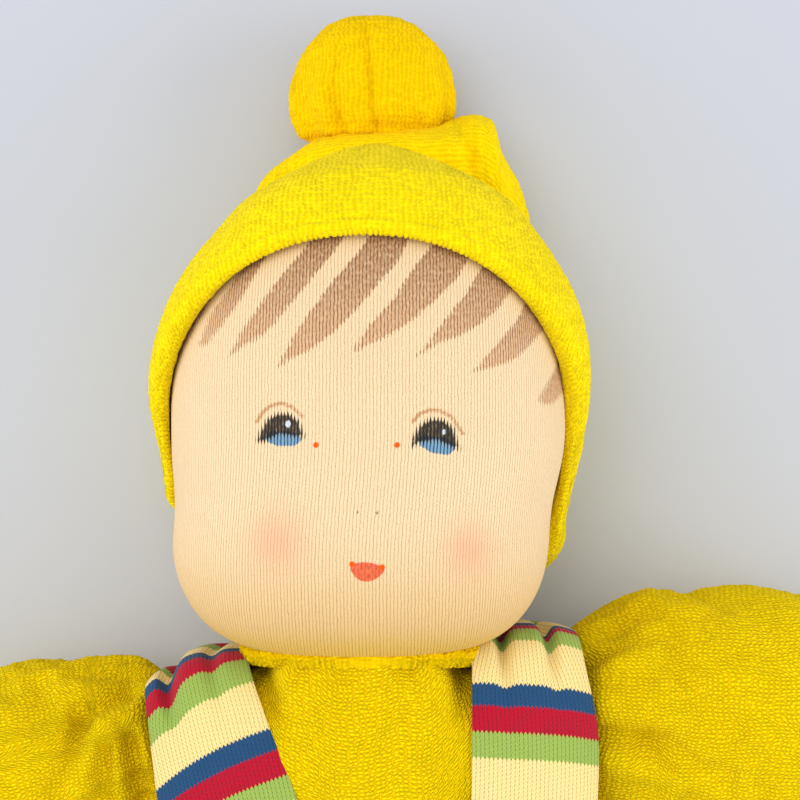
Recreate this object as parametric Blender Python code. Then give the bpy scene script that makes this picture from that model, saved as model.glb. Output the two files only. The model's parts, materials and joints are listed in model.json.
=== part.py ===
"""A waldorf doll in a hooded terry suit and striped trousers, lying on its back.

Metres. +Z is the doll's front and +Y points to its head, so its own left is at +X. The origin is
on the floor, midway between the soles and the top of the bobble on the hood.
"""

import math

import bmesh
import bpy
import numpy as np
from mathutils import Matrix, Vector

# Lengths along the body
leg_reach = 0.1120
torso_length = 0.1070
head_length = 0.1154
tail_reach = 0.0325
total_length = leg_reach + torso_length + head_length + tail_reach
hip_y = leg_reach - total_length / 2
chin_y = hip_y + torso_length
head_y = chin_y + head_length / 2
crown_y = chin_y + head_length

# Cloth, thread, and the room between pieces
gap = 0.0003
terry_wall = 0.0015
hood_wall = 0.0030
tricot_wall = 0.0010
jersey_wall = 0.0012
thread_radius = 0.0004
# The thread lies round the back of a root, at this angle from the way the limb points
root_thread_angle = math.radians(150)
# A soft piece is pressed this deep into the floor, and is cut flat there
floor_press = 0.0005
# A limb's round root turns in a hollow with this much room, in which its thread lies
socket_room = 0.0024
# A root's form starts with a ring at this angle, and a round end has its rings at these steps
first_cap_angle = math.radians(155)
end_ring_share = 0.5
# Cutting tools run past what they cut by this much
overrun = 0.0200

# Head and hood
head_half_width = 0.0445
head_half_depth = 0.0415
head_z = 0.0445
head_powers = (3.7, 2.0)
head_depth_powers = (2.6, 2.0)
head_section_power = 2.15
hood_half_width = 0.0500
hood_half_depth = 0.0455
hood_z = hood_half_depth - floor_press
hood_powers = (3.7, 2.0)
hood_depth_powers = (3.0, 2.0)
hood_section_power = 2.15
hood_skin_room = 0.0010
brim_side_z = 0.0526
brim_slope_share = 0.69
nape_above_chin = 0.0200
eye_line_above_chin = 0.0500
neck_below_chin = 0.0060
neck_z = 0.0360
neck_ball = 0.0135
neck_mouth = 0.0060

# Tail of the hood, the bobble on its tip, and the tie between them
tail_above_head = 0.0500
tail_z = 0.0165
tail_half_depth = 0.0130
tail_reach_right = 0.0290
tail_reach_left = 0.0390
tail_room = 0.0010
# The tail folds back this far, and its room behind the hood is cut at these shares of the way
tail_back = math.radians(45)
tail_cut_shares = (0, 0.5, 1)
bobble_x = 0.0009
bobble_half_width = 0.0193
bobble_half_depth = 0.0175
bobble_length = 0.0290
bobble_powers = (1.9, 2.2)
bobble_mouth = 0.0030
bobble_tie_radius = 0.0052

# Torso, trousers' seat and straps
torso_half_width = 0.0505
torso_half_depth = 0.0270
torso_z = 0.0280
torso_section_power = 3.0
torso_top_below_chin = 0.0012
torso_bottom_below_hip = 0.0020
waist_above_hip = 0.0450
seat_drop = 0.0015
strap_width_top = 0.0240
strap_width_chest = 0.0290
strap_taper = 0.0030
strap_left_inner = (0.0230, 0.0230, 0.0220)
strap_right_inner = (0.0265, 0.0165, 0.0140)
strap_chest_below_chin = 0.0350

# Arms and hands
shoulder_x = 0.0570
shoulder_z = 0.0250
shoulder_ball = 0.0240
shoulder_cone = math.radians(63)
shoulder_below_chin = {"left": 0.0150, "right": 0.0220}
arm_angle = {"left": math.radians(-1), "right": math.radians(-14)}
arm_half_width = 0.0275
arm_half_depth = 0.0255
sleeve_length = 0.0680
sleeve_end = 0.0108
wrist_reach = 0.0670
wrist_ball = 0.0082
wrist_cone = math.radians(50)
hand_reach = 0.0230
hand_half_width = 0.0118
hand_half_depth = 0.0094
hand_round_share = 0.45
hand_mouth = 0.0035

# Legs and trouser legs
hip_x = 0.0240
hip_z = 0.0250
hip_ball = 0.0190
hip_cone = math.radians(56)
thigh_half_width = 0.0210
trouser_cap = math.radians(85)
trouser_end = 0.0830
foot_half_width = 0.0155
foot_half_depth = 0.0245
foot_half_length = 0.0130
leg_round_share = 0.12
leg_mouth = 0.0035

# How finely round shapes are divided
torso_segments = 20
torso_rings = 9
head_segments = 20
head_rings = 11
limb_segments = 12
longest_stretch = 0.0140
hand_segments = 10
root_rings = 4
end_rings = 2
bobble_segments = 14
bobble_rings = 7
tail_segments = 14
tail_rings = 8
thread_segments = 16
thread_sides = 4
cutter_segments = 14
cutter_rings = 8
foot_rings = 8

sides = {"left": 1, "right": -1}
across = Vector((1, 0, 0))
towards_head = Vector((0, 1, 0))
frontward = Vector((0, 0, 1))


def clear_scene():
    for obj in list(bpy.data.objects):
        bpy.data.objects.remove(obj, do_unlink=True)


def cloth_material(name, colour, roughness):
    material = bpy.data.materials.new(name)
    material.use_nodes = True
    shader = material.node_tree.nodes["Principled BSDF"]
    shader.inputs["Base Color"].default_value = (*colour, 1)
    shader.inputs["Roughness"].default_value = roughness
    shader.inputs["Metallic"].default_value = 0
    return material


# Shapes of outlines


def smooth_value(keys, place):
    """Read a smooth curve through (place, value) keys."""
    places = np.array([key[0] for key in keys], float)
    values = np.array([key[1] for key in keys], float)
    slopes = np.gradient(values, places)
    place = float(np.clip(place, places[0], places[-1]))
    last = len(places) - 2
    index = min(int(np.searchsorted(places, place, side="right")) - 1, last)
    span = places[index + 1] - places[index]
    t = (place - places[index]) / span
    ease = t * t * (3 - 2 * t)
    pull_start = t * (1 - t) ** 2 * span * slopes[index]
    pull_end = t**2 * (1 - t) * span * slopes[index + 1]
    return values[index] * (1 - ease) + values[index + 1] * ease + pull_start - pull_end


def end_round(share, start_share, end_share, power):
    """The factor that rounds off a form within a share of its length at each end."""
    factor = 1
    if share < start_share:
        factor = (1 - (1 - share / start_share) ** power) ** (1 / power)
    if share > 1 - end_share:
        from_end = max(0, (1 - share) / end_share)
        factor *= (1 - (1 - from_end) ** power) ** (1 / power)
    return factor


def egg_round(place, powers):
    """Half-size of an egg at a place from -1 to 1, with one power for each half."""
    power = powers[0] if place < 0 else powers[1]
    return max(0, 1 - abs(place) ** power) ** (1 / power)


def spaced(count):
    """Shares between 0 and 1, closer together near the ends."""
    return [(1 - math.cos(math.pi * (index + 1) / (count + 1))) / 2 for index in range(count)]


def section(centre, side, up, half_side, half_up, power, segments):
    """The points of one rounded cross-section."""
    points = []
    for index in range(segments):
        angle = 2 * math.pi * index / segments
        cosine = math.cos(angle)
        sine = math.sin(angle)
        sideways = math.copysign(abs(cosine) ** (2 / power), cosine) * half_side
        upwards = math.copysign(abs(sine) ** (2 / power), sine) * half_up
        points.append(centre + side * sideways + up * upwards)
    return points


# Making and cutting solids


def new_object(name, bm, material=None):
    mesh = bpy.data.meshes.new(name)
    bm.to_mesh(mesh)
    bm.free()
    obj = bpy.data.objects.new(name, mesh)
    bpy.context.collection.objects.link(obj)
    if material:
        mesh.materials.append(material)
        mesh.shade_smooth()
    else:
        obj.hide_render = True
        obj.display_type = "WIRE"
    return obj


def close_end(bm, loop, tip):
    """Close one end of a skin with a point, or with a flat face where there is none."""
    if tip is None:
        bm.faces.new(loop)
        return
    point = bm.verts.new(tip)
    for index, vertex in enumerate(loop):
        bm.faces.new((point, loop[index - 1], vertex))


def loft(name, rings, start=None, end=None, material=None):
    """Skin closed rings of equal counts, in flat triangles that a cut leaves clean."""
    bm = bmesh.new()
    loops = [[bm.verts.new(point) for point in ring] for ring in rings]
    for lower, upper in zip(loops, loops[1:]):
        for index in range(len(lower)):
            bm.faces.new((lower[index - 1], lower[index], upper[index], upper[index - 1]))
    bmesh.ops.triangulate(bm, faces=bm.faces)
    close_end(bm, loops[0], start)
    close_end(bm, loops[-1], end)
    bmesh.ops.recalc_face_normals(bm, faces=bm.faces)
    return new_object(name, bm, material)


def combine(obj, other, operation="DIFFERENCE"):
    modifier = obj.modifiers.new(operation.lower() + "_" + other.name, "BOOLEAN")
    modifier.object = other
    modifier.operation = operation
    modifier.solver = "EXACT"


def ball(name, centre, radius, material=None):
    bm = bmesh.new()
    bmesh.ops.create_uvsphere(bm, u_segments=cutter_segments, v_segments=cutter_rings, radius=radius)
    bmesh.ops.translate(bm, verts=bm.verts, vec=centre)
    return new_object(name, bm, material)


def block(name, low, high):
    """A cutting tool: the box between two corners."""
    bm = bmesh.new()
    bmesh.ops.create_cube(bm, size=1)
    bmesh.ops.scale(bm, verts=bm.verts, vec=Vector(high) - Vector(low))
    bmesh.ops.translate(bm, verts=bm.verts, vec=(Vector(high) + Vector(low)) / 2)
    return new_object(name, bm)


def prism(name, outline, low, high):
    """A cutting tool: an outline in X and Y, run from one height to another."""
    bm = bmesh.new()
    base = [bm.verts.new((x, y, low)) for x, y in outline]
    face = bm.faces.new(base)
    top = bmesh.ops.extrude_face_region(bm, geom=[face])["geom"]
    raised = [item for item in top if isinstance(item, bmesh.types.BMVert)]
    bmesh.ops.translate(bm, verts=raised, vec=(0, 0, high - low))
    bmesh.ops.recalc_face_normals(bm, faces=bm.faces)
    return new_object(name, bm)


def rod(name, start, end, radius):
    """A cutting tool: a round bar between two points."""
    bm = bmesh.new()
    length = (end - start).length
    bmesh.ops.create_cone(
        bm, cap_ends=True, segments=cutter_rings, radius1=radius, radius2=radius, depth=length
    )
    turn = frontward.rotation_difference(end - start).to_matrix().to_4x4()
    bmesh.ops.transform(bm, matrix=Matrix.Translation((start + end) / 2) @ turn, verts=bm.verts)
    return new_object(name, bm)


def thread_ring(name, path, radius, material=None):
    """A closed ring of thread along a path of points."""
    count = len(path)
    middle = sum(path, Vector()) / count
    bm = bmesh.new()
    rings = []
    for index, point in enumerate(path):
        along = (path[(index + 1) % count] - path[index - 1]).normalized()
        out = point - middle
        out = (out - along * out.dot(along)).normalized()
        up = along.cross(out)
        ring = []
        for side in range(thread_sides):
            angle = 2 * math.pi * side / thread_sides
            ring.append(bm.verts.new(point + (out * math.cos(angle) + up * math.sin(angle)) * radius))
        rings.append(ring)
    for index in range(count):
        ahead = rings[(index + 1) % count]
        for side in range(thread_sides):
            after = (side + 1) % thread_sides
            bm.faces.new((rings[index][side], rings[index][after], ahead[after], ahead[side]))
    bmesh.ops.recalc_face_normals(bm, faces=bm.faces)
    return new_object(name, bm, material)


def root_thread(name, centre, along, root_radius, material):
    """The thread that holds a limb's round root, in the room behind the root."""
    radius = root_radius + gap + thread_radius
    angle = root_thread_angle
    middle = centre + along * radius * math.cos(angle)
    side = along.orthogonal().normalized()
    up = along.cross(side)
    path = []
    for index in range(thread_segments):
        turn = 2 * math.pi * index / thread_segments
        spoke = side * math.cos(turn) + up * math.sin(turn)
        path.append(middle + spoke * radius * math.sin(angle))
    return thread_ring(name, path, thread_radius, material)


# Head: wool core, eye line thread, tricot skin and hood

skin_crown_y = crown_y - hood_wall - hood_skin_room
skin_half_length = (skin_crown_y - chin_y) / 2
skin_y = (skin_crown_y + chin_y) / 2
eye_line_y = chin_y + eye_line_above_chin
neck_point = Vector((0, chin_y - neck_below_chin, neck_z))


def egg_rings(centre, half_width, half_length, half_depth, powers, depth_powers, section_power, places):
    rings = []
    for place in places:
        middle = centre + towards_head * half_length * place
        wide = half_width * egg_round(place, powers)
        deep = half_depth * egg_round(place, depth_powers)
        rings.append(section(middle, across, frontward, wide, deep, section_power, head_segments))
    return rings


def head_form(name, grow, material=None):
    """The stuffed head, from the chin to the crown, grown or shrunk evenly."""
    centre = Vector((0, skin_y, head_z))
    half_length = skin_half_length + grow
    places = [2 * share - 1 for share in spaced(head_rings)]
    rings = egg_rings(
        centre,
        head_half_width + grow,
        half_length,
        head_half_depth + grow,
        head_powers,
        head_depth_powers,
        head_section_power,
        places,
    )
    start = centre - towards_head * half_length
    end = centre + towards_head * half_length
    return loft(name, rings, start, end, material)


def hood_form(name, grow, material=None):
    centre = Vector((0, head_y, hood_z))
    half_length = head_length / 2 + grow
    places = [2 * share - 1 for share in spaced(head_rings)]
    rings = egg_rings(
        centre,
        hood_half_width + grow,
        half_length,
        hood_half_depth + grow,
        hood_powers,
        hood_depth_powers,
        hood_section_power,
        places,
    )
    start = centre - towards_head * half_length
    end = centre + towards_head * half_length
    return loft(name, rings, start, end, material)


def eye_line_path(depth):
    """Round the core at the height of the eyes, this deep below its surface."""
    grow = -tricot_wall - gap - depth
    centre = Vector((0, skin_y, head_z))
    half_length = skin_half_length - tricot_wall - gap
    rings = egg_rings(
        centre,
        head_half_width + grow,
        half_length,
        head_half_depth + grow,
        head_powers,
        head_depth_powers,
        head_section_power,
        [(eye_line_y - skin_y) / half_length],
    )
    return rings[0]


def make_head_core():
    core = head_form("head_core", -tricot_wall - gap, wool)
    combine(core, ball("neck_stub_form", neck_point, neck_ball), "UNION")
    combine(core, thread_ring("eye_line_groove", eye_line_path(thread_radius), thread_radius + gap))
    return core


def make_eye_line_thread():
    return thread_ring("eye_line_thread", eye_line_path(thread_radius), thread_radius, thread)


def make_head_skin():
    skin = head_form("head_skin", 0, tricot)
    combine(skin, head_form("head_skin_hollow", -tricot_wall))
    combine(skin, ball("neck_opening", neck_point, neck_ball + gap))
    return skin


def make_brim_cutter():
    """Everything in front of the slanting edge that frames the face."""
    reach = head_length
    slope = math.atan(brim_slope_share)
    cutter = block("brim_cutter", (-reach, -reach, 0), (reach, reach, reach))
    turn = Matrix.Rotation(slope, 4, across)
    place = Matrix.Translation((0, head_y, brim_side_z))
    cutter.data.transform(place @ turn)
    return cutter


def make_hood():
    hood = hood_form("hood", 0, terry)
    combine(hood, hood_form("hood_hollow", -hood_wall))
    nape_y = chin_y + nape_above_chin
    low = (-head_length, chin_y - overrun, -overrun)
    high = (head_length, nape_y, head_length)
    combine(hood, floor_cutter)
    combine(hood, block("nape_cutter", low, high))
    combine(hood, make_brim_cutter())
    return hood


# Tail and bobble of the hood

tail_y = head_y + tail_above_head
tail_point = Vector((0, tail_y, tail_z))
bobble_low_y = crown_y + tail_reach - bobble_length
bobble_z = bobble_half_depth - floor_press
tie_point = Vector((bobble_x, bobble_low_y, bobble_z))
bobble_middle = Vector((bobble_x, bobble_low_y + bobble_length / 2, bobble_z))

# Places across the tail, as shares of its reach to each side, with the shares of the bobble's
# length that its middle lies above the hinge and that it measures to each side of that
tail_shares = (
    (-1.00, -0.08, 0.06),
    (-0.80, -0.02, 0.16),
    (-0.40, 0.03, 0.24),
    (0.00, 0.06, 0.24),
    (0.40, 0.10, 0.27),
    (0.62, 0.24, 0.36),
    (0.80, 0.16, 0.34),
    (1.00, -0.06, 0.08),
)
tail_depth_shares = ((-1.00, 0.25), (-0.80, 0.65), (-0.40, 1.00), (0.40, 1.00), (0.80, 0.75), (1.00, 0.3))


def make_hood_tail():
    """The slack cone behind the crown, a soft roll that lies across the back of the hood."""
    middle_keys = [(share, up) for share, up, half in tail_shares]
    half_keys = [(share, half) for share, up, half in tail_shares]
    rings = []
    for share in spaced(tail_rings):
        place = 2 * share - 1
        reach = tail_reach_right if place < 0 else tail_reach_left
        middle_y = tail_y + bobble_length * smooth_value(middle_keys, place)
        half_y = bobble_length * smooth_value(half_keys, place)
        half_z = tail_half_depth * smooth_value(tail_depth_shares, place)
        middle = Vector((reach * place, middle_y, tail_z))
        rings.append(section(middle, towards_head, frontward, half_y, half_z, 2, tail_segments))
    start = Vector((-tail_reach_right, tail_y + bobble_length * tail_shares[0][1], tail_z))
    end = Vector((tail_reach_left, tail_y + bobble_length * tail_shares[-1][1], tail_z))
    tail = loft("hood_tail", rings, start, end, terry)
    for index, share in enumerate(tail_cut_shares):
        room = hood_form("tail_room_" + str(index), tail_room)
        turn = Matrix.Translation(tail_point) @ Matrix.Rotation(tail_back * share, 4, across)
        room.data.transform(turn @ Matrix.Translation(-tail_point))
        combine(tail, room)
    combine(tail, ball("bobble_room", bobble_middle, bobble_half_width + tail_room))
    return tail


def bobble_form(name, grow, material=None):
    """The gathered ball: round, a little flattened, and drawn in where it is tied."""
    rings = []
    half_length = bobble_length / 2 + grow
    for share in spaced(bobble_rings):
        place = 2 * share - 1
        middle = bobble_middle + towards_head * half_length * place
        wide = (bobble_half_width + grow) * egg_round(place, bobble_powers)
        deep = (bobble_half_depth + grow) * egg_round(place, bobble_powers)
        rings.append(section(middle, across, frontward, wide, deep, 2, bobble_segments))
    start = bobble_middle - towards_head * half_length
    end = bobble_middle + towards_head * half_length
    return loft(name, rings, start, end, material)


def make_bobble_cover():
    cover = bobble_form("bobble_cover", 0, terry)
    combine(cover, bobble_form("bobble_hollow", -terry_wall))
    low = tie_point - towards_head * overrun
    combine(cover, rod("bobble_opening", low, bobble_middle, bobble_mouth))
    combine(cover, floor_cutter)
    return cover


def make_bobble_filling():
    return bobble_form("bobble_filling", -terry_wall - gap, wool)


# Torso: terry cover, wool filling, trousers' seat and straps

shoulder_points = {
    side: Vector((sign * shoulder_x, chin_y - shoulder_below_chin[side], shoulder_z))
    for side, sign in sides.items()
}
hip_points = {side: Vector((sign * hip_x, hip_y, hip_z)) for side, sign in sides.items()}
waist_y = hip_y + waist_above_hip
torso_top_y = chin_y - torso_top_below_chin
torso_bottom_y = hip_y - torso_bottom_below_hip

torso_width_shares = ((0, 0.96), (0.15, 1.0), (0.4, 0.97), (0.7, 0.96), (0.9, 0.94), (1, 0.92))
torso_depth_shares = ((0, 0.97), (0.2, 1.0), (0.42, 0.965), (0.6, 0.945), (1, 0.945))
torso_drop_shares = ((0, 0), (0.3, 0), (0.5, 1), (1, 1))
torso_side_rounds = (0.10, 0.16)
torso_front_rounds = (0.13, 0.24)
torso_end_power = 2.2


def torso_form(name, grow, material=None):
    """The stuffed trunk, from the neck down to the crotch, grown or shrunk evenly."""
    rings = []
    top = torso_top_y + grow
    bottom = torso_bottom_y - grow
    for share in spaced(torso_rings):
        wide = torso_half_width * smooth_value(torso_width_shares, share) + grow
        deep = torso_half_depth * smooth_value(torso_depth_shares, share) + grow
        wide *= end_round(share, *torso_side_rounds, torso_end_power)
        deep *= end_round(share, *torso_front_rounds, torso_end_power)
        z = torso_z - seat_drop * smooth_value(torso_drop_shares, share)
        middle = Vector((0, top + (bottom - top) * share, z))
        power = torso_section_power
        rings.append(section(middle, across, frontward, wide, deep, power, torso_segments))
    start = Vector((0, top, torso_z))
    end = Vector((0, bottom, torso_z - seat_drop))
    return loft(name, rings, start, end, material)


def cut_sockets(obj, grow, names):
    """Hollow out the round seats of the limbs' roots, each with its room and the given wall."""
    seats = {"neck": (neck_point, neck_ball)}
    for side in sides:
        seats[side + "_shoulder"] = (shoulder_points[side], shoulder_ball)
        seats[side + "_hip"] = (hip_points[side], hip_ball + gap + jersey_wall)
    for name in names:
        centre, radius = seats[name]
        cutter_name = obj.name + "_" + name + "_seat"
        combine(obj, ball(cutter_name, centre, radius + socket_room + grow))


all_seats = ("neck", "left_shoulder", "right_shoulder", "left_hip", "right_hip")


def make_body_cover():
    cover = torso_form("body_cover", 0, terry)
    cut_sockets(cover, 0, all_seats)
    hollow = torso_form("body_hollow", -terry_wall)
    cut_sockets(hollow, terry_wall, all_seats)
    combine(cover, hollow)
    low = neck_point - towards_head * (neck_ball + overrun)
    combine(cover, rod("body_neck_opening", low, neck_point, neck_mouth))
    return cover


def make_body_filling():
    filling = torso_form("body_filling", -terry_wall - gap, wool)
    cut_sockets(filling, terry_wall + gap, all_seats)
    return filling


def make_trouser_seat():
    seat = torso_form("trouser_seat", gap + jersey_wall, jersey)
    combine(seat, torso_form("trouser_seat_hollow", gap))
    low = (-torso_half_width - overrun, waist_y, -overrun)
    high = (torso_half_width + overrun, torso_top_y + overrun, 2 * torso_z + overrun)
    combine(seat, block("waist_cutter", low, high))
    cut_sockets(seat, 0, ("left_hip", "right_hip"))
    combine(seat, floor_cutter)
    return seat


def strap_outline(sign, inner):
    """The strap seen from the front, from above the shoulder down to the waist."""
    top, chest, waist = inner
    levels = (
        (torso_top_y + overrun, top, top + strap_width_top),
        (chin_y - torso_top_below_chin, top, top + strap_width_top),
        (chin_y - strap_chest_below_chin, chest, chest + strap_width_chest - strap_taper),
        (waist_y + gap, waist, waist + strap_width_chest - strap_taper),
    )
    inner_edge = [(sign * near, y) for y, near, far in levels]
    outer_edge = [(sign * far, y) for y, near, far in reversed(levels)]
    return inner_edge + outer_edge


def make_strap(side):
    sign = sides[side]
    strap = torso_form(side + "_strap", gap + jersey_wall, jersey)
    inner = strap_left_inner if side == "left" else strap_right_inner
    outline = strap_outline(sign, inner)
    slab = prism(side + "_strap_outline", outline, -overrun, 2 * torso_z + overrun)
    combine(strap, slab, "INTERSECT")
    combine(strap, torso_form(side + "_strap_hollow", gap))
    cut_sockets(strap, 0, (side + "_shoulder", "neck"))
    combine(strap, floor_cutter)
    return strap


# Limbs: a round root, a neck that opens as a cone, then swelling and tapering


class Limb:
    """One limb's outline along its own axis, measured from the middle of its root."""

    def __init__(self, root, along, radius, cone, halves, lifts, reach, round_length=0, stops=()):
        self.root = root
        self.along = along.normalized()
        self.side = self.along.cross(frontward).normalized()
        self.radius = radius
        self.cone = cone
        start = radius * math.cos(cone)
        mouth = radius * math.sin(cone)
        self.sides = [(start, mouth)] + [(place, half) for place, half, deep in halves]
        self.ups = [(start, mouth)] + [(place, deep) for place, half, deep in halves]
        self.lifts = [(start, 0)] + list(lifts)
        self.reach = reach
        self.round_length = round_length
        self.stops = stops

    def centre(self, place):
        return self.root + self.along * place + frontward * smooth_value(self.lifts, place)

    def ring(self, place, grow, segments, factor=1):
        half_side = (smooth_value(self.sides, place) + grow) * factor
        half_up = (smooth_value(self.ups, place) + grow) * factor
        return section(self.centre(place), self.side, frontward, half_side, half_up, 2, segments)

    def cap_rings(self, first_angle, grow, segments):
        """Rings over the round root, from an angle behind it to where the cone starts."""
        rings = []
        radius = self.radius + grow
        for index in range(root_rings):
            angle = first_angle - (first_angle - self.cone) * index / root_rings
            middle = self.root + self.along * radius * math.cos(angle)
            half = radius * math.sin(angle)
            rings.append(section(middle, self.side, frontward, half, half, 2, segments))
        return rings

    def places(self):
        """Where rings lie, the same for every layer: at each key, and midway on a long stretch."""
        keys = sorted([place for place, half in self.sides] + list(self.stops))
        between = []
        for low, high in zip(keys, keys[1:]):
            if high - low > longest_stretch:
                between.append((low + high) / 2)
        return sorted(keys + between)

    def body_rings(self, grow, segments, until=None):
        end = self.reach - self.round_length if until is None else until
        return [self.ring(place, grow, segments) for place in self.places() if place <= end]

    def end_rings(self, grow, segments):
        """Rings that round off the far end."""
        rings = []
        for index in range(end_rings):
            angle = math.pi / 2 * (index + end_ring_share) / end_rings
            place = self.reach - self.round_length * (1 - math.sin(angle))
            ring = self.ring(place, grow, segments, math.cos(angle))
            rings.append([point + self.along * grow * math.sin(angle) for point in ring])
        return rings


def run_on(rings, end, before):
    """Move an end ring straight on, as far again, so that a cutter passes its piece's end."""
    rings[end] = [2 * point - earlier for point, earlier in zip(rings[end], rings[before])]


def limb_form(name, limb, grow, segments, passes_end=False, material=None):
    """The limb's solid, with a round end, or with a flat one that may run on past its reach."""
    rings = limb.cap_rings(first_cap_angle, grow, segments)
    rings += limb.body_rings(grow, segments)
    last = None
    if limb.round_length:
        rings += limb.end_rings(grow, segments)
        last = limb.centre(limb.reach) + limb.along * grow
    if passes_end:
        run_on(rings, -1, -2)
    return loft(name, rings, limb.root - limb.along * (limb.radius + grow), last, material)


arm_shares = (
    (0.27, 0.88, 0.88),
    (0.41, 1.00, 1.00),
    (0.62, 0.96, 0.96),
    (0.80, 0.74, 0.72),
    (0.92, 0.47, 0.48),
)
hand_shares = ((0.42, 0.82, 0.86), (0.66, 1.00, 1.00), (0.84, 0.86, 0.90))
leg_shares = ((0.20, 0.84), (0.30, 1.00), (0.46, 0.96), (0.64, 0.82), (0.78, 0.72), (0.90, 0.72))


def arm_limb(side):
    """The arm lies on the floor all along its underside, so its middle sinks as it tapers."""
    angle = arm_angle[side]
    along = Vector((sides[side] * math.cos(angle), math.sin(angle), 0))
    halves = []
    for place, wide, deep in arm_shares:
        halves.append((place * sleeve_length, wide * arm_half_width, deep * arm_half_depth))
    halves.append((sleeve_length, sleeve_end, sleeve_end))
    lifts = [(place, deep - arm_half_depth) for place, wide, deep in halves[1:-1]]
    lifts.append((sleeve_length, sleeve_end + 2 * thread_radius + 3 * gap - shoulder_z))
    root = shoulder_points[side]
    return Limb(root, along, shoulder_ball, shoulder_cone, halves, lifts, sleeve_length)


def hand_limb(side):
    arm = arm_limb(side)
    halves = []
    for place, wide, deep in hand_shares:
        halves.append((place * hand_reach, wide * hand_half_width, deep * hand_half_depth))
    root = arm.centre(wrist_reach)
    rest_z = hand_half_depth - floor_press
    lifts = [(hand_shares[1][0] * hand_reach, rest_z - root.z)]
    round_length = hand_reach * hand_round_share
    return Limb(root, arm.along, wrist_ball, wrist_cone, halves, lifts, hand_reach, round_length)


def leg_limb(side):
    """The leg sinks as it tapers, so that its trouser leg and heel lie on the floor."""
    halves = []
    for place, share in leg_shares:
        half = share * thigh_half_width
        halves.append((place * leg_reach, half, half))
    trouser_outside = gap + jersey_wall
    lifts = []
    for place, half, deep in halves[1:]:
        under = half + trouser_outside if place < trouser_end else half
        lifts.append((place, under - floor_press - hip_z))
    root = hip_points[side]
    round_length = leg_reach * leg_round_share
    stops = (trouser_end,)
    return Limb(root, -towards_head, hip_ball, hip_cone, halves, lifts, leg_reach, round_length, stops)


def make_sleeve(side, limb):
    name = side + "_arm_cover"
    hollow_name = side + "_arm_hollow"
    sleeve = limb_form(name, limb, 0, limb_segments, False, terry)
    hollow = limb_form(hollow_name, limb, -terry_wall, limb_segments, True)
    combine(sleeve, hollow)
    combine(sleeve, floor_cutter)
    return sleeve


def make_arm_filling(side, limb):
    """Wool fills the sleeve up to the hand's round root."""
    name = side + "_arm_filling"
    inside = -terry_wall - gap
    filling = limb_form(name, limb, inside, limb_segments, False, wool)
    end = limb.centre(wrist_reach) - limb.along * (wrist_ball + gap)
    combine(filling, rod(name + "_end", end, end + limb.along * overrun, arm_half_width))
    return filling


def make_wrist_tie(side, limb):
    path = limb.ring((wrist_reach + sleeve_length) / 2, thread_radius + 2 * gap, thread_segments)
    return thread_ring(side + "_wrist_tie", path, thread_radius, thread)


def make_hand(side, limb):
    skin = limb_form(side + "_hand_skin", limb, 0, hand_segments, False, tricot)
    combine(skin, limb_form(side + "_hand_hollow", limb, -tricot_wall, hand_segments))
    low = limb.root - limb.along * (wrist_ball + overrun)
    combine(skin, rod(side + "_hand_opening", low, limb.root, hand_mouth))
    combine(skin, floor_cutter)
    inside = -tricot_wall - gap
    name = side + "_hand_filling"
    filling = limb_form(name, limb, inside, hand_segments, False, wool)
    return skin, filling


def foot_form(name, limb, grow, material=None):
    """A rounded foot that points to the front from the end of the leg."""
    bm = bmesh.new()
    bmesh.ops.create_uvsphere(bm, u_segments=limb_segments, v_segments=foot_rings, radius=1)
    sizes = (foot_half_width + grow, foot_half_length + grow, foot_half_depth + grow)
    bmesh.ops.scale(bm, verts=bm.verts, vec=sizes)
    rest_z = foot_half_depth - floor_press
    place = Vector((limb.root.x, limb.root.y - leg_reach + foot_half_length, rest_z))
    bmesh.ops.translate(bm, verts=bm.verts, vec=place)
    return new_object(name, bm, material)


def make_leg(side, limb):
    cover = limb_form(side + "_leg_cover", limb, 0, limb_segments, False, terry)
    combine(cover, foot_form(side + "_foot_form", limb, 0), "UNION")
    hollow = limb_form(side + "_leg_hollow", limb, -terry_wall, limb_segments)
    combine(hollow, foot_form(side + "_foot_hollow", limb, -terry_wall), "UNION")
    combine(cover, hollow)
    low = limb.root - limb.along * (hip_ball + overrun)
    combine(cover, rod(side + "_leg_opening", low, limb.root, leg_mouth))
    combine(cover, floor_cutter)
    inside = -terry_wall - gap
    name = side + "_leg_filling"
    filling = limb_form(name, limb, inside, limb_segments, False, wool)
    combine(filling, foot_form(side + "_foot_filling", limb, inside), "UNION")
    return cover, filling


def trouser_form(name, limb, grow, passes_ends=False, material=None):
    """The trouser leg's outline: a cap over the leg's round root, then a tube down the leg."""
    rings = limb.cap_rings(trouser_cap, grow, limb_segments)
    rings += limb.body_rings(grow, limb_segments, trouser_end)
    if passes_ends:
        run_on(rings, 0, 1)
        run_on(rings, -1, -2)
    return loft(name, rings, material=material)


def make_trouser_leg(side, limb):
    name = side + "_trouser_leg"
    leg = trouser_form(name, limb, gap + jersey_wall, False, jersey)
    combine(leg, trouser_form(name + "_hollow", limb, gap, True))
    combine(leg, floor_cutter)
    return leg


# Joints


def joint_empty(name, point, parent=None):
    empty = bpy.data.objects.new(name, None)
    bpy.context.collection.objects.link(empty)
    empty.location = point - (parent_points[parent.name] if parent else Vector())
    empty.parent = parent
    parent_points[name] = point.copy()
    return empty


parent_points = {}


def hang_on(empty, *pieces):
    """Give pieces their origin at a joint, and carry them by its empty."""
    for piece in pieces:
        piece.data.transform(Matrix.Translation(-parent_points[empty.name]))
        piece.parent = empty


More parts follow.
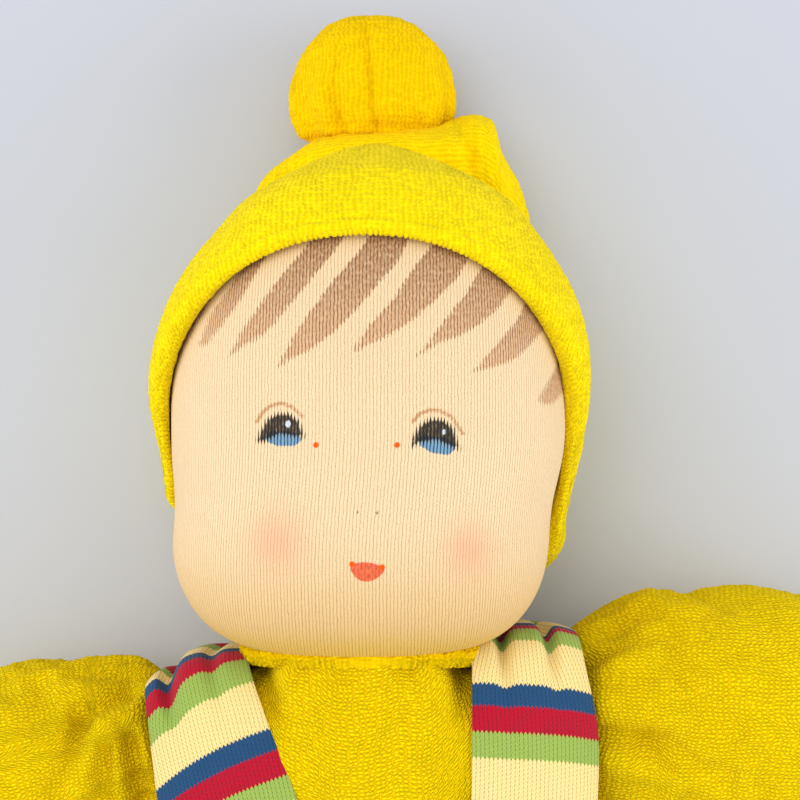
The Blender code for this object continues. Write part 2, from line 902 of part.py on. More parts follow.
def build_head():
    turn = joint_empty("neck_turn_joint", neck_point)
    nod = joint_empty("neck_nod_joint", neck_point, turn)
    hang_on(turn, root_thread("neck_tie", neck_point, towards_head, neck_ball, thread))
    hang_on(nod, make_head_core(), make_eye_line_thread(), make_head_skin(), make_hood())
    tail = joint_empty("hood_tail_joint", tail_point, nod)
    hang_on(tail, make_hood_tail())
    bobble = joint_empty("bobble_joint", tie_point, tail)
    hang_on(bobble, make_bobble_cover(), make_bobble_filling())
    tie_path = section(
        tie_point, across, frontward, bobble_tie_radius, bobble_tie_radius, 2, thread_segments
    )
    hang_on(bobble, thread_ring("bobble_tie", tie_path, thread_radius, thread))


def build_torso():
    make_body_cover()
    make_body_filling()
    make_trouser_seat()
    for side in sides:
        make_strap(side)


def build_arm(side):
    limb = arm_limb(side)
    lift = joint_empty(side + "_shoulder_lift_joint", limb.root)
    swing = joint_empty(side + "_shoulder_swing_joint", limb.root, lift)
    hang_on(lift, root_thread(side + "_shoulder_thread", limb.root, limb.along, shoulder_ball, thread))
    hang_on(swing, make_sleeve(side, limb), make_arm_filling(side, limb), make_wrist_tie(side, limb))
    hand = hand_limb(side)
    wrist = joint_empty(side + "_wrist_joint", hand.root, swing)
    hang_on(wrist, *make_hand(side, hand))


def build_leg(side):
    limb = leg_limb(side)
    splay = joint_empty(side + "_hip_splay_joint", limb.root)
    flex = joint_empty(side + "_hip_lift_joint", limb.root, splay)
    hang_on(splay, root_thread(side + "_hip_thread", limb.root, limb.along, hip_ball, thread))
    hang_on(flex, *make_leg(side, limb), make_trouser_leg(side, limb))


clear_scene()
terry = cloth_material("yellow_terry", (0.86, 0.62, 0.005), 0.95)
tricot = cloth_material("cream_tricot", (0.95, 0.75, 0.44), 0.85)
jersey = cloth_material("striped_jersey", (0.90, 0.78, 0.33), 0.85)
wool = cloth_material("sheep_wool", (0.88, 0.82, 0.70), 1.0)
thread = cloth_material("strong_thread", (0.85, 0.70, 0.20), 0.7)
floor_cutter = block(
    "floor_cutter",
    (-total_length, -total_length, -overrun),
    (total_length, total_length, 0),
)
build_torso()
build_head()
for limb_side in sides:
    build_arm(limb_side)
    build_leg(limb_side)
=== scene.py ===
# %% [markdown]
# # A waldorf doll on its back
# The real doll is a ball of wool under cotton tricot, in a suit and a hood of stretch terry, with
# striped jersey trousers on straps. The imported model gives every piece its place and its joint.
# This lesson dresses it: each solid gets a cloth surface with its folds, loops, knit and paint.
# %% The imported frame
import json
import math

import bmesh
import bpy
import numpy as np
from mathutils import Vector, kdtree
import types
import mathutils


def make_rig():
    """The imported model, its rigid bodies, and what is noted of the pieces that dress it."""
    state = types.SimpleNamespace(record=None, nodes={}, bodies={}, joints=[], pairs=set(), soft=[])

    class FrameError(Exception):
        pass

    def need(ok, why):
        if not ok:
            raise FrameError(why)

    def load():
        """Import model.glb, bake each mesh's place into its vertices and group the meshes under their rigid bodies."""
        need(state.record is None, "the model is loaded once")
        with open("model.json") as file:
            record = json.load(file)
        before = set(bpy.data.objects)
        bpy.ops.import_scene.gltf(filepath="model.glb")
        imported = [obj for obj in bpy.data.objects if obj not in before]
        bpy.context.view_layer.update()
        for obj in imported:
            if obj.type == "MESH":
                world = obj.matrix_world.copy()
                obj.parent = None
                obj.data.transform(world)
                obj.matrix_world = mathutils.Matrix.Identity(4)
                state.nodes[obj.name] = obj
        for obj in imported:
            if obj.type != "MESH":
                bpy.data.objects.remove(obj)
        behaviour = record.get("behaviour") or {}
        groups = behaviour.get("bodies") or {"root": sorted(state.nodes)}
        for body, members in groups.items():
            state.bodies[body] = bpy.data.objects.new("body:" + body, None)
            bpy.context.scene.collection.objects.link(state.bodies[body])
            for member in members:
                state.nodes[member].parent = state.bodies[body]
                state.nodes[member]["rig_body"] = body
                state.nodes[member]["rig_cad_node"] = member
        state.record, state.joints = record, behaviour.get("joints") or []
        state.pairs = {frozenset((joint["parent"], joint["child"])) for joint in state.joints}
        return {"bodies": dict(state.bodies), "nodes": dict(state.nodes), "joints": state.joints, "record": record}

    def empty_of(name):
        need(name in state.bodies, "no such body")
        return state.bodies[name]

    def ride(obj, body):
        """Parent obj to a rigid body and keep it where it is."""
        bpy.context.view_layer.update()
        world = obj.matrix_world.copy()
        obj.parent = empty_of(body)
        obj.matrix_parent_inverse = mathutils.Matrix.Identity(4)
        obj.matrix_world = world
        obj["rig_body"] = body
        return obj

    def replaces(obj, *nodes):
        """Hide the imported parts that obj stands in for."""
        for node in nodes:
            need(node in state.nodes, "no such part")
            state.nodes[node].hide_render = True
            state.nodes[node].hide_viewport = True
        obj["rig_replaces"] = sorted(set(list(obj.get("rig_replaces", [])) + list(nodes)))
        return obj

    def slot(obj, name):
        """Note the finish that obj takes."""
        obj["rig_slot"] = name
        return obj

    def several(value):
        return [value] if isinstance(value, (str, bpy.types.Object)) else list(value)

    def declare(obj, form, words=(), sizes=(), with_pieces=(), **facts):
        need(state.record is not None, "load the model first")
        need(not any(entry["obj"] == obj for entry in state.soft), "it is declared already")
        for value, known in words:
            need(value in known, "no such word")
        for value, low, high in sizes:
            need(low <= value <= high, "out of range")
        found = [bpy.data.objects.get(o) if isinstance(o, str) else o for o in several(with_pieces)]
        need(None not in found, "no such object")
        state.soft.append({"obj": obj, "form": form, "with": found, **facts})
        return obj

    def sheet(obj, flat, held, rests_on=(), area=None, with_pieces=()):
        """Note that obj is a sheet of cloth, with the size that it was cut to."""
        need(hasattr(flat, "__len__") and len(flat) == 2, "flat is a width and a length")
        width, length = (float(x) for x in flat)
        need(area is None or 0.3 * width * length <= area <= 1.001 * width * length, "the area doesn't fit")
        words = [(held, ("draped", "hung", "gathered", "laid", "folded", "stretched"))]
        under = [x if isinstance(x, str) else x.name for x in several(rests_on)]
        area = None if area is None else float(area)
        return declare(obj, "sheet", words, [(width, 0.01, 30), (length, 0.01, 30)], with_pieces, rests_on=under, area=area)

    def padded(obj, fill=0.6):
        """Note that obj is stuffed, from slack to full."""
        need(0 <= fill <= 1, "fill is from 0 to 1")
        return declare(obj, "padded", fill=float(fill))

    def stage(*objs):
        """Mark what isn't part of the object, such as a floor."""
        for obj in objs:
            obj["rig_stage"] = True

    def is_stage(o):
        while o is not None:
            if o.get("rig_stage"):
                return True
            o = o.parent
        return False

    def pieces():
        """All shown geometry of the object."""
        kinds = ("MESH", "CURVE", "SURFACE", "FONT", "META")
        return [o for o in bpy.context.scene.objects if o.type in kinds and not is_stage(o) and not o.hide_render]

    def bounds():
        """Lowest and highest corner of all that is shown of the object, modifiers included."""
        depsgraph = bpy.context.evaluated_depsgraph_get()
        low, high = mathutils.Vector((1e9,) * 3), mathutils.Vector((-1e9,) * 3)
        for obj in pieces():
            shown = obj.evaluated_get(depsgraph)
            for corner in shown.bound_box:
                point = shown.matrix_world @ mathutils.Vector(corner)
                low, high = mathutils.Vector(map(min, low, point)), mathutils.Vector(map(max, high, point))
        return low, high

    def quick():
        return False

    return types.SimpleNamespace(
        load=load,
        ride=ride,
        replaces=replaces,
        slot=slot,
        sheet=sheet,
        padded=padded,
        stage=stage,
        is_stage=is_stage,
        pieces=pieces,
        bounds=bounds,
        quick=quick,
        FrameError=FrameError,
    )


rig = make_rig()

for leftover in list(bpy.data.objects):
    bpy.data.objects.remove(leftover)
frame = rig.load()
cad_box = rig.bounds()
mm = 0.001
hinge_at = {joint["name"]: Vector(joint["pos_m"]) for joint in frame["joints"]}
print("bodies:", ", ".join(frame["bodies"]))

# %% [markdown]
# The photograph looks straight down on the doll's face from about 0.6 m. The same lens and height
# make the same perspective, and turn a pixel of the photograph into a place on the doll.
# %% The camera
photo_pixels = 800
pixels_per_slope = 2453
camera_height = 0.600
camera_x = 0.0075
camera_y = 0.09325

camera_data = bpy.data.cameras.new("camera")
camera_data.sensor_width = 36
camera_data.lens = pixels_per_slope / photo_pixels * camera_data.sensor_width
camera = bpy.data.objects.new("camera", camera_data)
camera.location = (camera_x, camera_y, camera_height)
bpy.context.scene.collection.objects.link(camera)
bpy.context.scene.camera = camera


def in_photo(points):
    """The pixels at which points of the doll show in the photograph."""
    scale = pixels_per_slope / (camera_height - points[:, 2])
    right = photo_pixels / 2 + (points[:, 0] - camera_x) * scale
    down = photo_pixels / 2 - (points[:, 1] - camera_y) * scale
    return np.stack([right, down], axis=1)


def from_photo(pixel, height):
    """The place, at a height above the floor, that shows at a pixel of the photograph."""
    scale = pixels_per_slope / (camera_height - height)
    x = camera_x + (pixel[0] - photo_pixels / 2) / scale
    y = camera_y - (pixel[1] - photo_pixels / 2) / scale
    return np.array([x, y])


print("lens", round(camera_data.lens, 1), "mm")

# %% [markdown]
# Soft light fills from all round, as in a white tent, and one large lamp above the doll's head
# gives the gentle shade under the chin, which painted shade on the skin deepens. The floor is pale
# and cool and looks a little darker to the feet; its colour turns darker and bluer towards the
# head, as painted shade and a painted cool tint.
# %% Light and floor
bpy.context.scene.view_settings.view_transform = "Standard"
fill_light = 0.80
fill_colour = (0.95, 0.97, 1.0, 1)
world = bpy.data.worlds.new("studio")
bpy.context.scene.world = world
world.use_nodes = True
world.node_tree.nodes["Background"].inputs["Color"].default_value = fill_colour
world.node_tree.nodes["Background"].inputs["Strength"].default_value = fill_light

lamp_aim = (0, 0.05, 0)
lamps = (
    ("softbox", (-0.40, 0.50, 1.30), 1.0, 5.8, (1, 0.99, 0.97)),
    ("left_panel", (-0.95, 0.05, 0.38), 0.8, 3.9, (1, 1, 1)),
    ("right_panel", (0.95, 0.00, 0.38), 0.8, 4.9, (1, 1, 1)),
    ("foot_panel", (0.0, -1.0, 0.50), 0.8, 1.6, (1, 0.97, 0.90)),
)


def add_lamp(name, place, size, power, colour):
    """A square lamp that looks at the doll's chest."""
    lamp_data = bpy.data.lights.new(name, "AREA")
    lamp_data.size = size
    lamp_data.energy = power
    lamp_data.color = colour
    lamp = bpy.data.objects.new(name, lamp_data)
    lamp.location = place
    toward = Vector(lamp_aim) - Vector(place)
    lamp.rotation_mode = "QUATERNION"
    lamp.rotation_quaternion = toward.to_track_quat("-Z", "Y")
    bpy.context.scene.collection.objects.link(lamp)


for lamp in lamps:
    add_lamp(*lamp)
print(len(lamps), "lamps")

# %% [markdown]
# A finish is a tree of shader nodes. Written as Python sums, with one small class for a socket
# and one for a material, the tree reads like the recipe of the cloth that it makes.
# %% Shader sums


class Socket:
    """One output of a node, which Python's own operators turn into more nodes."""

    def __init__(self, finish, output):
        self.finish = finish
        self.output = output

    def __add__(self, other):
        return self.finish.math("ADD", self, other)

    def __radd__(self, other):
        return self.finish.math("ADD", other, self)

    def __sub__(self, other):
        return self.finish.math("SUBTRACT", self, other)

    def __rsub__(self, other):
        return self.finish.math("SUBTRACT", other, self)

    def __mul__(self, other):
        return self.finish.math("MULTIPLY", self, other)

    def __rmul__(self, other):
        return self.finish.math("MULTIPLY", other, self)

    def __truediv__(self, other):
        return self.finish.math("DIVIDE", self, other)

    def __abs__(self):
        return self.finish.math("ABSOLUTE", self)

    def named(self, name):
        """Another output of the same node."""
        return Socket(self.finish, self.output.node.outputs[name])


class Finish:
    """A material, and the one way in which nodes are added to it."""

    def __init__(self, name, roughness, sheen=0, sheen_tint=(1, 1, 1)):
        self.material = bpy.data.materials.new(name)
        self.material.use_nodes = True
        self.tree = self.material.node_tree
        self.shader = self.tree.nodes["Principled BSDF"]
        self.shader.inputs["Roughness"].default_value = roughness
        self.shader.inputs["Specular IOR Level"].default_value = 0.2
        self.shader.inputs["Sheen Weight"].default_value = sheen
        self.shader.inputs["Sheen Roughness"].default_value = 0.5
        self.shader.inputs["Sheen Tint"].default_value = (*sheen_tint, 1)

    def feed(self, socket, value):
        if isinstance(value, Socket):
            self.tree.links.new(value.output, socket)
        else:
            socket.default_value = value

    def node(self, kind, settings=None, inputs=None, output=0):
        node = self.tree.nodes.new("ShaderNode" + kind)
        for name, value in (settings or {}).items():
            setattr(node, name, value)
        for name, value in (inputs or {}).items():
            self.feed(node.inputs[name], value)
        return Socket(self, node.outputs[output])

    def math(self, operation, *values, clamp=False):
        settings = {"operation": operation, "use_clamp": clamp}
        return self.node("Math", settings, dict(enumerate(values)))

    def smooth(self, value, low, high):
        """0 below low and 1 above high, with a soft step between."""
        inputs = {"Value": value, "From Min": low, "From Max": high}
        return self.node("MapRange", {"interpolation_type": "SMOOTHSTEP"}, inputs)

    def mix(self, share, first, second, blend="MIX"):
        """A colour between two others, or the first one blended with the second."""
        colours = [c if isinstance(c, Socket) else (*c, 1) for c in (first, second)]
        inputs = {0: share, 6: colours[0], 7: colours[1]}
        return self.node("Mix", {"data_type": "RGBA", "blend_type": blend}, inputs, output=2)

    def shade(self, colour, amount):
        """A colour with all its parts multiplied by a number."""
        inputs = {0: colour, 3: amount}
        return self.node("VectorMath", {"operation": "SCALE"}, inputs)

    def cloth(self):
        """Places across and along the cloth, in millimetres, as it was cut."""
        uv = self.node("UVMap", {"uv_map": "cloth"})
        across = self.node("SeparateXYZ", None, {0: uv})
        return across / mm, across.named("Y") / mm

    def own_place(self):
        """A piece's own coordinates, in metres."""
        return self.node("TexCoord", output=3)

    def point(self, x, y, z=0):
        return self.node("CombineXYZ", None, {0: x, 1: y, 2: z})

    def noise(self, place, scale, detail=2):
        return self.node("TexNoise", None, {"Vector": place, "Scale": scale, "Detail": detail})

    def attribute(self, name):
        return self.node("Attribute", {"attribute_name": name}, output=2)

    def surface(self, colour, height, relief):
        """Use a colour, and a height from 0 to 1 that stands for this much relief in metres."""
        self.feed(self.shader.inputs["Base Color"], colour)
        inputs = {"Height": height, "Distance": relief, "Strength": 1}
        bump = self.node("Bump", None, inputs)
        self.feed(self.shader.inputs["Normal"], bump)
        return self.material


# %% [markdown]
# Stretch terry is a knit with a small loop of yarn left standing at every stitch. The loops are
# laid in columns by a cell texture, stretched to the loop's size and a little jittered. Light
# reaches the top of each loop, and the gaps between them are painted a deep orange yellow, as shade.
# %% Terry


def make_terry(name, weave, yarn):
    """Terry with its loops laid out as a weave says, and coloured by its yarn entry, whose gap colour is painted
    shade.
    """
    fuzz = yarn["fuzz"]
    finish = Finish(name, 0.95, fuzz, (1, 0.80, 0.05 + fuzz * 0.4))
    finish.shader.inputs["Specular IOR Level"].default_value = 0.04
    across, along = finish.cloth()
    place = finish.point(across, along)
    sway = finish.noise(place, 0.13, 1) - 0.5
    column = across / weave["across"] + sway * weave["bend"]
    row = along / weave["along"] + sway * weave["bend"] * 0.5
    settings = {"voronoi_dimensions": "2D", "feature": "F1"}
    inputs = {"Vector": finish.point(column, row), "Scale": 1, "Randomness": weave["jitter"]}
    cell = finish.node("TexVoronoi", settings, inputs)
    loop = 1 - finish.math("MULTIPLY", cell * cell, 3.4, clamp=True)
    ridges = finish.math("COSINE", column * 2 * math.pi) * 0.5 + 0.5
    height = loop * (1 - weave["rib"]) + ridges * weave["rib"]
    tone = finish.node("SeparateColor", None, {0: cell.named("Color")})
    patch = finish.noise(place, 0.05)
    # The gaps between the loops take the darker gap colour: painted shade.
    colour = finish.mix(finish.smooth(height, 0.05, 0.75), yarn["gap"], yarn["loop"])
    colour = finish.shade(colour, tone * 0.10 + patch * 0.10 + 0.90)
    return finish.surface(colour, height, yarn["pile"])


suit_weave = {"across": 1.26, "along": 0.96, "jitter": 0.40, "rib": 0.0, "bend": 2.0}
sleeve_weave = {"across": 0.92, "along": 1.24, "jitter": 0.34, "rib": 0.0, "bend": 1.6}
hood_weave = {"across": 1.25, "along": 1.10, "jitter": 0.38, "rib": 0.60, "bend": 1.9}
# One yellow terry makes all of these. The hood's colours are lighter than the suit's, as painted light, and the tail's
# and the ball's are darker than the hood's, as painted shade.
suit_yarn = {"pile": 0.54 * mm, "fuzz": 0.12, "gap": (0.82, 0.53, 0.0), "loop": (0.99, 0.735, 0.0004)}
hood_lit_yarn = {"pile": 0.34 * mm, "fuzz": 0.25, "gap": (0.90, 0.65, 0.0), "loop": (1.0, 0.80, 0.003)}
tail_shaded_yarn = {"pile": 0.22 * mm, "fuzz": 0.12, "gap": (0.90, 0.61, 0.0), "loop": (0.98, 0.73, 0.001)}
ball_shaded_yarn = {"pile": 0.22 * mm, "fuzz": 0.12, "gap": (0.84, 0.50, 0.0), "loop": (0.93, 0.62, 0.0)}
edge_yarn = {"pile": 0.08 * mm, "fuzz": 0.12, "gap": (0.90, 0.60, 0.0), "loop": (0.98, 0.71, 0.0004)}
suit_terry = make_terry("suit_terry", suit_weave, suit_yarn)
sleeve_terry = make_terry("sleeve_terry", sleeve_weave, suit_yarn)
hood_terry_lit = make_terry("hood_terry_lit", hood_weave, hood_lit_yarn)
tail_terry_shaded = make_terry("tail_terry_shaded", hood_weave, tail_shaded_yarn)
ball_terry_shaded = make_terry("ball_terry_shaded", hood_weave, ball_shaded_yarn)
edge_terry = make_terry("edge_terry", suit_weave, edge_yarn)
print("loops of", suit_weave["across"], "by", suit_weave["along"], "mm")

# %% [markdown]
# Tricot and jersey are plain knits: upright ribs, called wales, of small V-shaped stitches. A wale
# has two strands that lean together, so its height is a pair of rounded ribs whose rows climb
# towards the middle.
# %% Plain knit
tricot_wale = 0.76
tricot_course = 0.80
face_relief = 0.20 * mm
hand_relief = 0.16 * mm


def knit(finish, across, along, wale, course, groove, rung):
    """The height of a plain knit, each stitch's course, and a line at the edge of each wale."""
    column = across / wale
    side = abs(finish.math("FRACT", column) - 0.5) * 2
    climb = along / course - side * 0.75
    middle = 1 - finish.math("MULTIPLY", side, 2.2, clamp=True)
    stagger = finish.math("FLOOR", column) * 0.41
    phase = finish.math("FRACT", climb + stagger * (1 - rung)) * 2 - 1
    between = phase * phase
    gap = side * side * side * (between * 0.45 + 0.55)
    height = 1 - gap - between * rung - middle * groove
    return height, climb, side


def make_skin():
    """Cream tricot, whose gaps between the wales are painted darker as shade, in broken lines, every other one
    fainter.
    """
    finish = Finish("cream_tricot", 0.85, 0.1, (1, 0.85, 0.6))
    finish.shader.inputs["Specular IOR Level"].default_value = 0.08
    across, along = finish.cloth()
    place = finish.point(across, along)
    fuzz = finish.noise(place, 2.2, 3)
    wander = (finish.noise(place, 0.5, 2) - 0.5) * 0.5
    height, climb, side = knit(finish, across + wander, along, tricot_wale, tricot_course, 0.12, 0.04)
    nearest = finish.math("FLOOR", (across + wander) / tricot_wale + 0.5)
    slight = finish.math("FLOORED_MODULO", nearest, 2) * 0.45
    dots = finish.smooth(finish.noise(finish.point(across * 0.9, along * 1.1), 1.15, 1), 0.36, 0.60)
    # The gaps between the wales are coloured dark brown: painted shade.
    depth = (1 - finish.smooth(height, 0.05, 0.80)) * (dots * 0.85 + 0.40) * (1 - slight)
    patch = finish.noise(place, 0.06)
    colour = finish.mix(depth, (0.865, 0.645, 0.395), (0.47, 0.27, 0.075))
    colour = finish.shade(colour, fuzz * 0.24 + patch * 0.06 + 0.85)
    return finish, colour, height, side


def paint(finish, under, name, paint_colour, edge, cover=1.0):
    """Paint over a colour where the painter's outline, kept on the mesh, says that it lies."""
    share = finish.smooth(finish.attribute(name), -edge, edge) * cover
    return finish.mix(share, under, paint_colour)


# Towards the chin the skin is painted with shade and with the yellow light that the suit reflects: how much, from and
# to which y, what tint.
chin_painted_shade_and_bounce = (
    (0.70, 0.0345, 0.070, (0.87, 0.71, 0.30)),
    (0.75, 0.0370, 0.045, (1.0, 0.97, 0.34)),
)


def make_face():
    """The tricot with its painted hair, eyes, mouth and cheeks, which the knit breaks up."""
    finish, colour, height, side = make_skin()
    across, along = finish.cloth()
    line = finish.smooth(side, 0.25, 0.95)
    grain = finish.noise(finish.point(across * 1.5, along * 0.7), 1.3, 4)
    thin = finish.smooth(grain, 0.34, 0.58) * 0.45 + 0.52
    blush = finish.attribute("blush")
    colour = finish.mix(blush * 1.25, colour, (0.97, 0.42, 0.24))
    tip = finish.attribute("hair_tip")
    broken = (grain - 0.5) * 6 + (line - 0.5) * 2.0
    hair_edge = finish.attribute("hair") + broken * (tip * 0.9 + 0.6) + tip * 1.4
    hair_share = finish.smooth(hair_edge, -1.2, 1.4) * thin
    rubbed = finish.smooth(grain, 0.30, 0.62) * 0.7 + 0.5
    stitch = finish.math("MULTIPLY", (1 - line) * 1.5, rubbed, clamp=True)
    root_brown = finish.mix(stitch, (0.13, 0.048, 0.020), (0.36, 0.170, 0.082))
    tip_brown = finish.mix(stitch, (0.27, 0.090, 0.028), (0.62, 0.30, 0.135))
    strand = finish.mix(tip * 1.1, root_brown, tip_brown)
    bare = tip * stitch * 0.35
    colour = finish.mix(hair_share * (0.97 - bare), colour, strand)
    lash = (line - 0.30) * 4.2 + (grain - 0.5) * 3
    lid_share = finish.smooth(finish.attribute("lid") + lash * 0.25, -0.9, 1.1) * 0.78
    colour = finish.mix(lid_share, colour, (0.50, 0.215, 0.08))
    blue_share = finish.smooth(finish.attribute("iris") + broken * 0.4, -0.8, 0.8) * (line * 0.25 + 0.76)
    blue = finish.mix(line, (0.036, 0.275, 0.49), (0.010, 0.105, 0.24))
    colour = finish.mix(blue_share, colour, blue)
    lash_depth = finish.math("MINIMUM", finish.attribute("lashes"), 2.3)
    black_share = finish.smooth(lash_depth + lash, -1.4, 1.5) * 0.97
    black = finish.mix(line, (0.030, 0.026, 0.024), (0.008, 0.007, 0.007))
    colour = finish.mix(black_share, colour, black)
    colour = paint(finish, colour, "glint", (0.75, 0.82, 0.95), 0.5, 0.85)
    red = finish.mix(finish.smooth(grain, 0.35, 0.62), (0.72, 0.070, 0.035), (0.90, 0.165, 0.070))
    colour = paint(finish, colour, "mouth", red, 0.7, 0.94)
    colour = paint(finish, colour, "dots", (0.86, 0.11, 0.0), 0.7, 1.0)
    colour = paint(finish, colour, "nostrils", (0.25, 0.11, 0.05), 0.6, 0.75)
    # Painted shade and painted yellow light reflected from the suit, growing towards the chin.
    low = finish.node("SeparateXYZ", None, {0: finish.own_place()})
    for share, start, end, bounce_tint in chin_painted_shade_and_bounce:
        bounce_share = (1 - finish.smooth(low.named("Y"), start, end)) * share
        colour = finish.mix(bounce_share, colour, bounce_tint, "MULTIPLY")
    return finish.surface(colour, height, face_relief)


def make_plain_skin():
    """The same tricot, with its painted shade between the wales but without the face's paint, for the hands and the
    neck.
    """
    finish, colour, height, _ = make_skin()
    finish.material.name = "hand_tricot"
    return finish.surface(colour, height, hand_relief)


face_tricot = make_face()
hand_tricot = make_plain_skin()
print("wales of", tricot_wale, "mm")

# %% [markdown]
# The trousers are yarn-dyed jersey: bands of blue, red and green on cream. A band changes at a row
# of stitches, so its edge is a fine saw-tooth that follows the Vs of the knit.
# %% Striped jersey
jersey_wale = 0.97
jersey_course = 0.95
jersey_relief = 0.22 * mm
stripe_repeat = 26.9
stripe_colours = (
    (0.0, (0.95, 0.74, 0.30)),
    (10.2, (0.020, 0.080, 0.19)),
    (14.9, (0.50, 0.008, 0.030)),
    (20.8, (0.34, 0.48, 0.095)),
)


def make_jersey():
    """Striped jersey, whose bands start at a stitch's course."""
    finish = Finish("striped_jersey", 0.85, 0.1)
    finish.shader.inputs["Specular IOR Level"].default_value = 0.08
    across, along = finish.cloth()
    height, climb, _ = knit(finish, across, along, jersey_wale, jersey_course, 0.36, 0.30)
    row = finish.math("FLOOR", climb) * jersey_course
    place_in_repeat = finish.math("FLOORED_MODULO", row, stripe_repeat)
    colour = stripe_colours[0][1]
    for start, band in stripe_colours[1:]:
        begun = finish.math("GREATER_THAN", place_in_repeat, start)
        colour = finish.mix(begun, colour, band)
    fuzz = finish.noise(finish.point(across, along), 2.0, 3)
    # The knit's low places between the stitches are darkened: painted shade.
    deep = finish.smooth(height, 0.1, 0.75) * 0.36 + 0.64
    colour = finish.shade(colour, deep * (fuzz * 0.22 + 0.92))
    return finish.surface(colour, height + fuzz * 0.2, jersey_relief)


jersey = make_jersey()
print("stripes repeat every", stripe_repeat, "mm")

# %% [markdown]
# Wool and thread lie inside the doll. They show only where a seam opens as a limb turns.
# %% Wool and thread
wool_relief = 0.4 * mm
thread_relief = 0.1 * mm


def make_wool():
    """Curly fleece for the head's core."""
    finish = Finish("sheep_wool", 0.95, 0.3)
    curl = finish.noise(finish.own_place(), 900, 4)
    colour = finish.mix(finish.smooth(curl, 0.35, 0.65), (0.62, 0.55, 0.42), (0.86, 0.81, 0.70))
    return finish.surface(colour, curl, wool_relief)


def make_thread():
    """The yellow linen thread of the ties."""
    finish = Finish("strong_thread", 0.7, 0.2)
    strands = finish.noise(finish.own_place(), 2400, 2)
    colour = finish.mix(finish.smooth(strands, 0.4, 0.6), (0.62, 0.50, 0.16), (0.85, 0.74, 0.34))
    return finish.surface(colour, strands, thread_relief)


inner_finishes = {"sheep_wool": make_wool(), "strong_thread": make_thread()}

# %% [markdown]
# Most of the doll's pieces are sewn from one flat cut of cloth, closed by a seam at the back. So
# each starts here as a flat grid from one operator. Its points are moved to the form, its true
# widths and lengths become the places of the knit, and only then is the seam closed.
# %% A cut of cloth
seam_gap = 0.03 * mm
terry_jitter = 0.07 * mm
jitter_waves = ((5200, 7100, 6100), (6700, 4900, 7900), (7300, 5900, 4700))
floor_gap = 0.0003


def smooth_curve(keys, place):
    """A smooth curve through (place, value) keys, read at many places at once."""
    places, values = np.array(keys, float).T
    slopes = np.gradient(values, places)
    index = np.clip(np.searchsorted(places, place, side="right") - 1, 0, len(places) - 2)
    span = places[index + 1] - places[index]
    t = np.clip((place - places[index]) / span, 0, 1)
    ease = t * t * (3 - 2 * t)
    pull = t * (1 - t) ** 2 * span * slopes[index] - t**2 * (1 - t) * span * slopes[index + 1]
    return values[index] * (1 - ease) + values[index + 1] * ease + pull


def step(value, low, high):
    """0 below low and 1 above high, smooth between."""
    t = np.clip((value - low) / (high - low), 0, 1)
    return t * t * (3 - 2 * t)


def steps_of(points):
    """How far each point of a row lies from the one before it."""
    return np.linalg.norm(np.diff(points, axis=1), axis=2)


def flat_area(wide, long):
    """The area of a cut from the flat places of its grid."""
    down = (wide[1:, 1:] - wide[:-1, :-1], long[1:, 1:] - long[:-1, :-1])
    up = (wide[1:, :-1] - wide[:-1, 1:], long[1:, :-1] - long[:-1, 1:])
    return float(np.abs(down[0] * up[1] - down[1] * up[0]).sum() / 2)


def cut_cloth(name, across, along, form, first=(0, 0), datum=0, even=False, skew=0):
    """A cut of cloth, moved to the form that gives a point for each share across and along."""
    bm = bmesh.new()
    uv = bm.loops.layers.uv.new("cloth")
    bmesh.ops.create_grid(bm, x_segments=across, y_segments=along, size=0.5)
    shares = np.array([vert.co[:2] for vert in bm.verts]) + 0.5
    columns = np.rint(shares[:, 0] * across).astype(int)
    rows = np.rint(shares[:, 1] * along).astype(int)
    order = rows * (across + 1) + columns
    points = np.empty((len(order), 3))
    points[order] = form(shares[:, 0], shares[:, 1])
    grid = points.reshape(along + 1, across + 1, 3)
    wide = np.concatenate([np.zeros((along + 1, 1)), np.cumsum(steps_of(grid), axis=1)], axis=1)
    wide -= wide[:, across // 2][:, None]
    down = steps_of(grid.transpose(1, 0, 2))
    long = np.concatenate([np.zeros((across + 1, 1)), np.cumsum(down, axis=1)], axis=1).T
    long = long - long[round(along * datum)]
    if even:
        long = np.repeat(long.mean(axis=1)[:, None], across + 1, axis=1)
    long = long + skew * wide
    size = (float(steps_of(grid).sum(axis=1).max()), float(down.sum(axis=1).max()))
    cut = {"flat": size, "area": flat_area(wide, long)}
    wide = wide.ravel()[order] + first[0]
    long = long.ravel()[order] + first[1]
    for vert, place in zip(bm.verts, order):
        vert.co = points[place]
    for face in bm.faces:
        for loop in face.loops:
            index = loop.vert.index
            loop[uv].uv = (wide[index], long[index])
    bmesh.ops.remove_doubles(bm, verts=bm.verts, dist=seam_gap)
    bmesh.ops.recalc_face_normals(bm, faces=bm.faces)
    mesh = bpy.data.meshes.new(name)
    bm.to_mesh(mesh)
    bm.free()
    mesh.shade_smooth()
    piece = bpy.data.objects.new(name, mesh)
    bpy.context.scene.collection.objects.link(piece)
    return piece, cut


def finish_piece(piece, material, slot, body, *nodes):
    """Give a piece its finish, say which CAD nodes it stands for, and hang it on its body."""
    piece.data.materials.append(material)
    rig.slot(piece, slot)
    if nodes:
        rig.replaces(piece, *nodes)
    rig.ride(piece, body)
    print(piece.name, len(piece.data.vertices), "points")
    return piece


def declare_sheet(piece, cut, held, rests_on, with_pieces=()):
    """Say what flat cut a sheet was sewn from, and print it for the record."""
    width, length = cut["flat"]
    print(f"{piece.name} cut {width:.3f} by {length:.3f} m, {cut['area']:.5f} square metres")
    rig.sheet(piece, held=held, rests_on=rests_on, with_pieces=list(with_pieces), **cut)


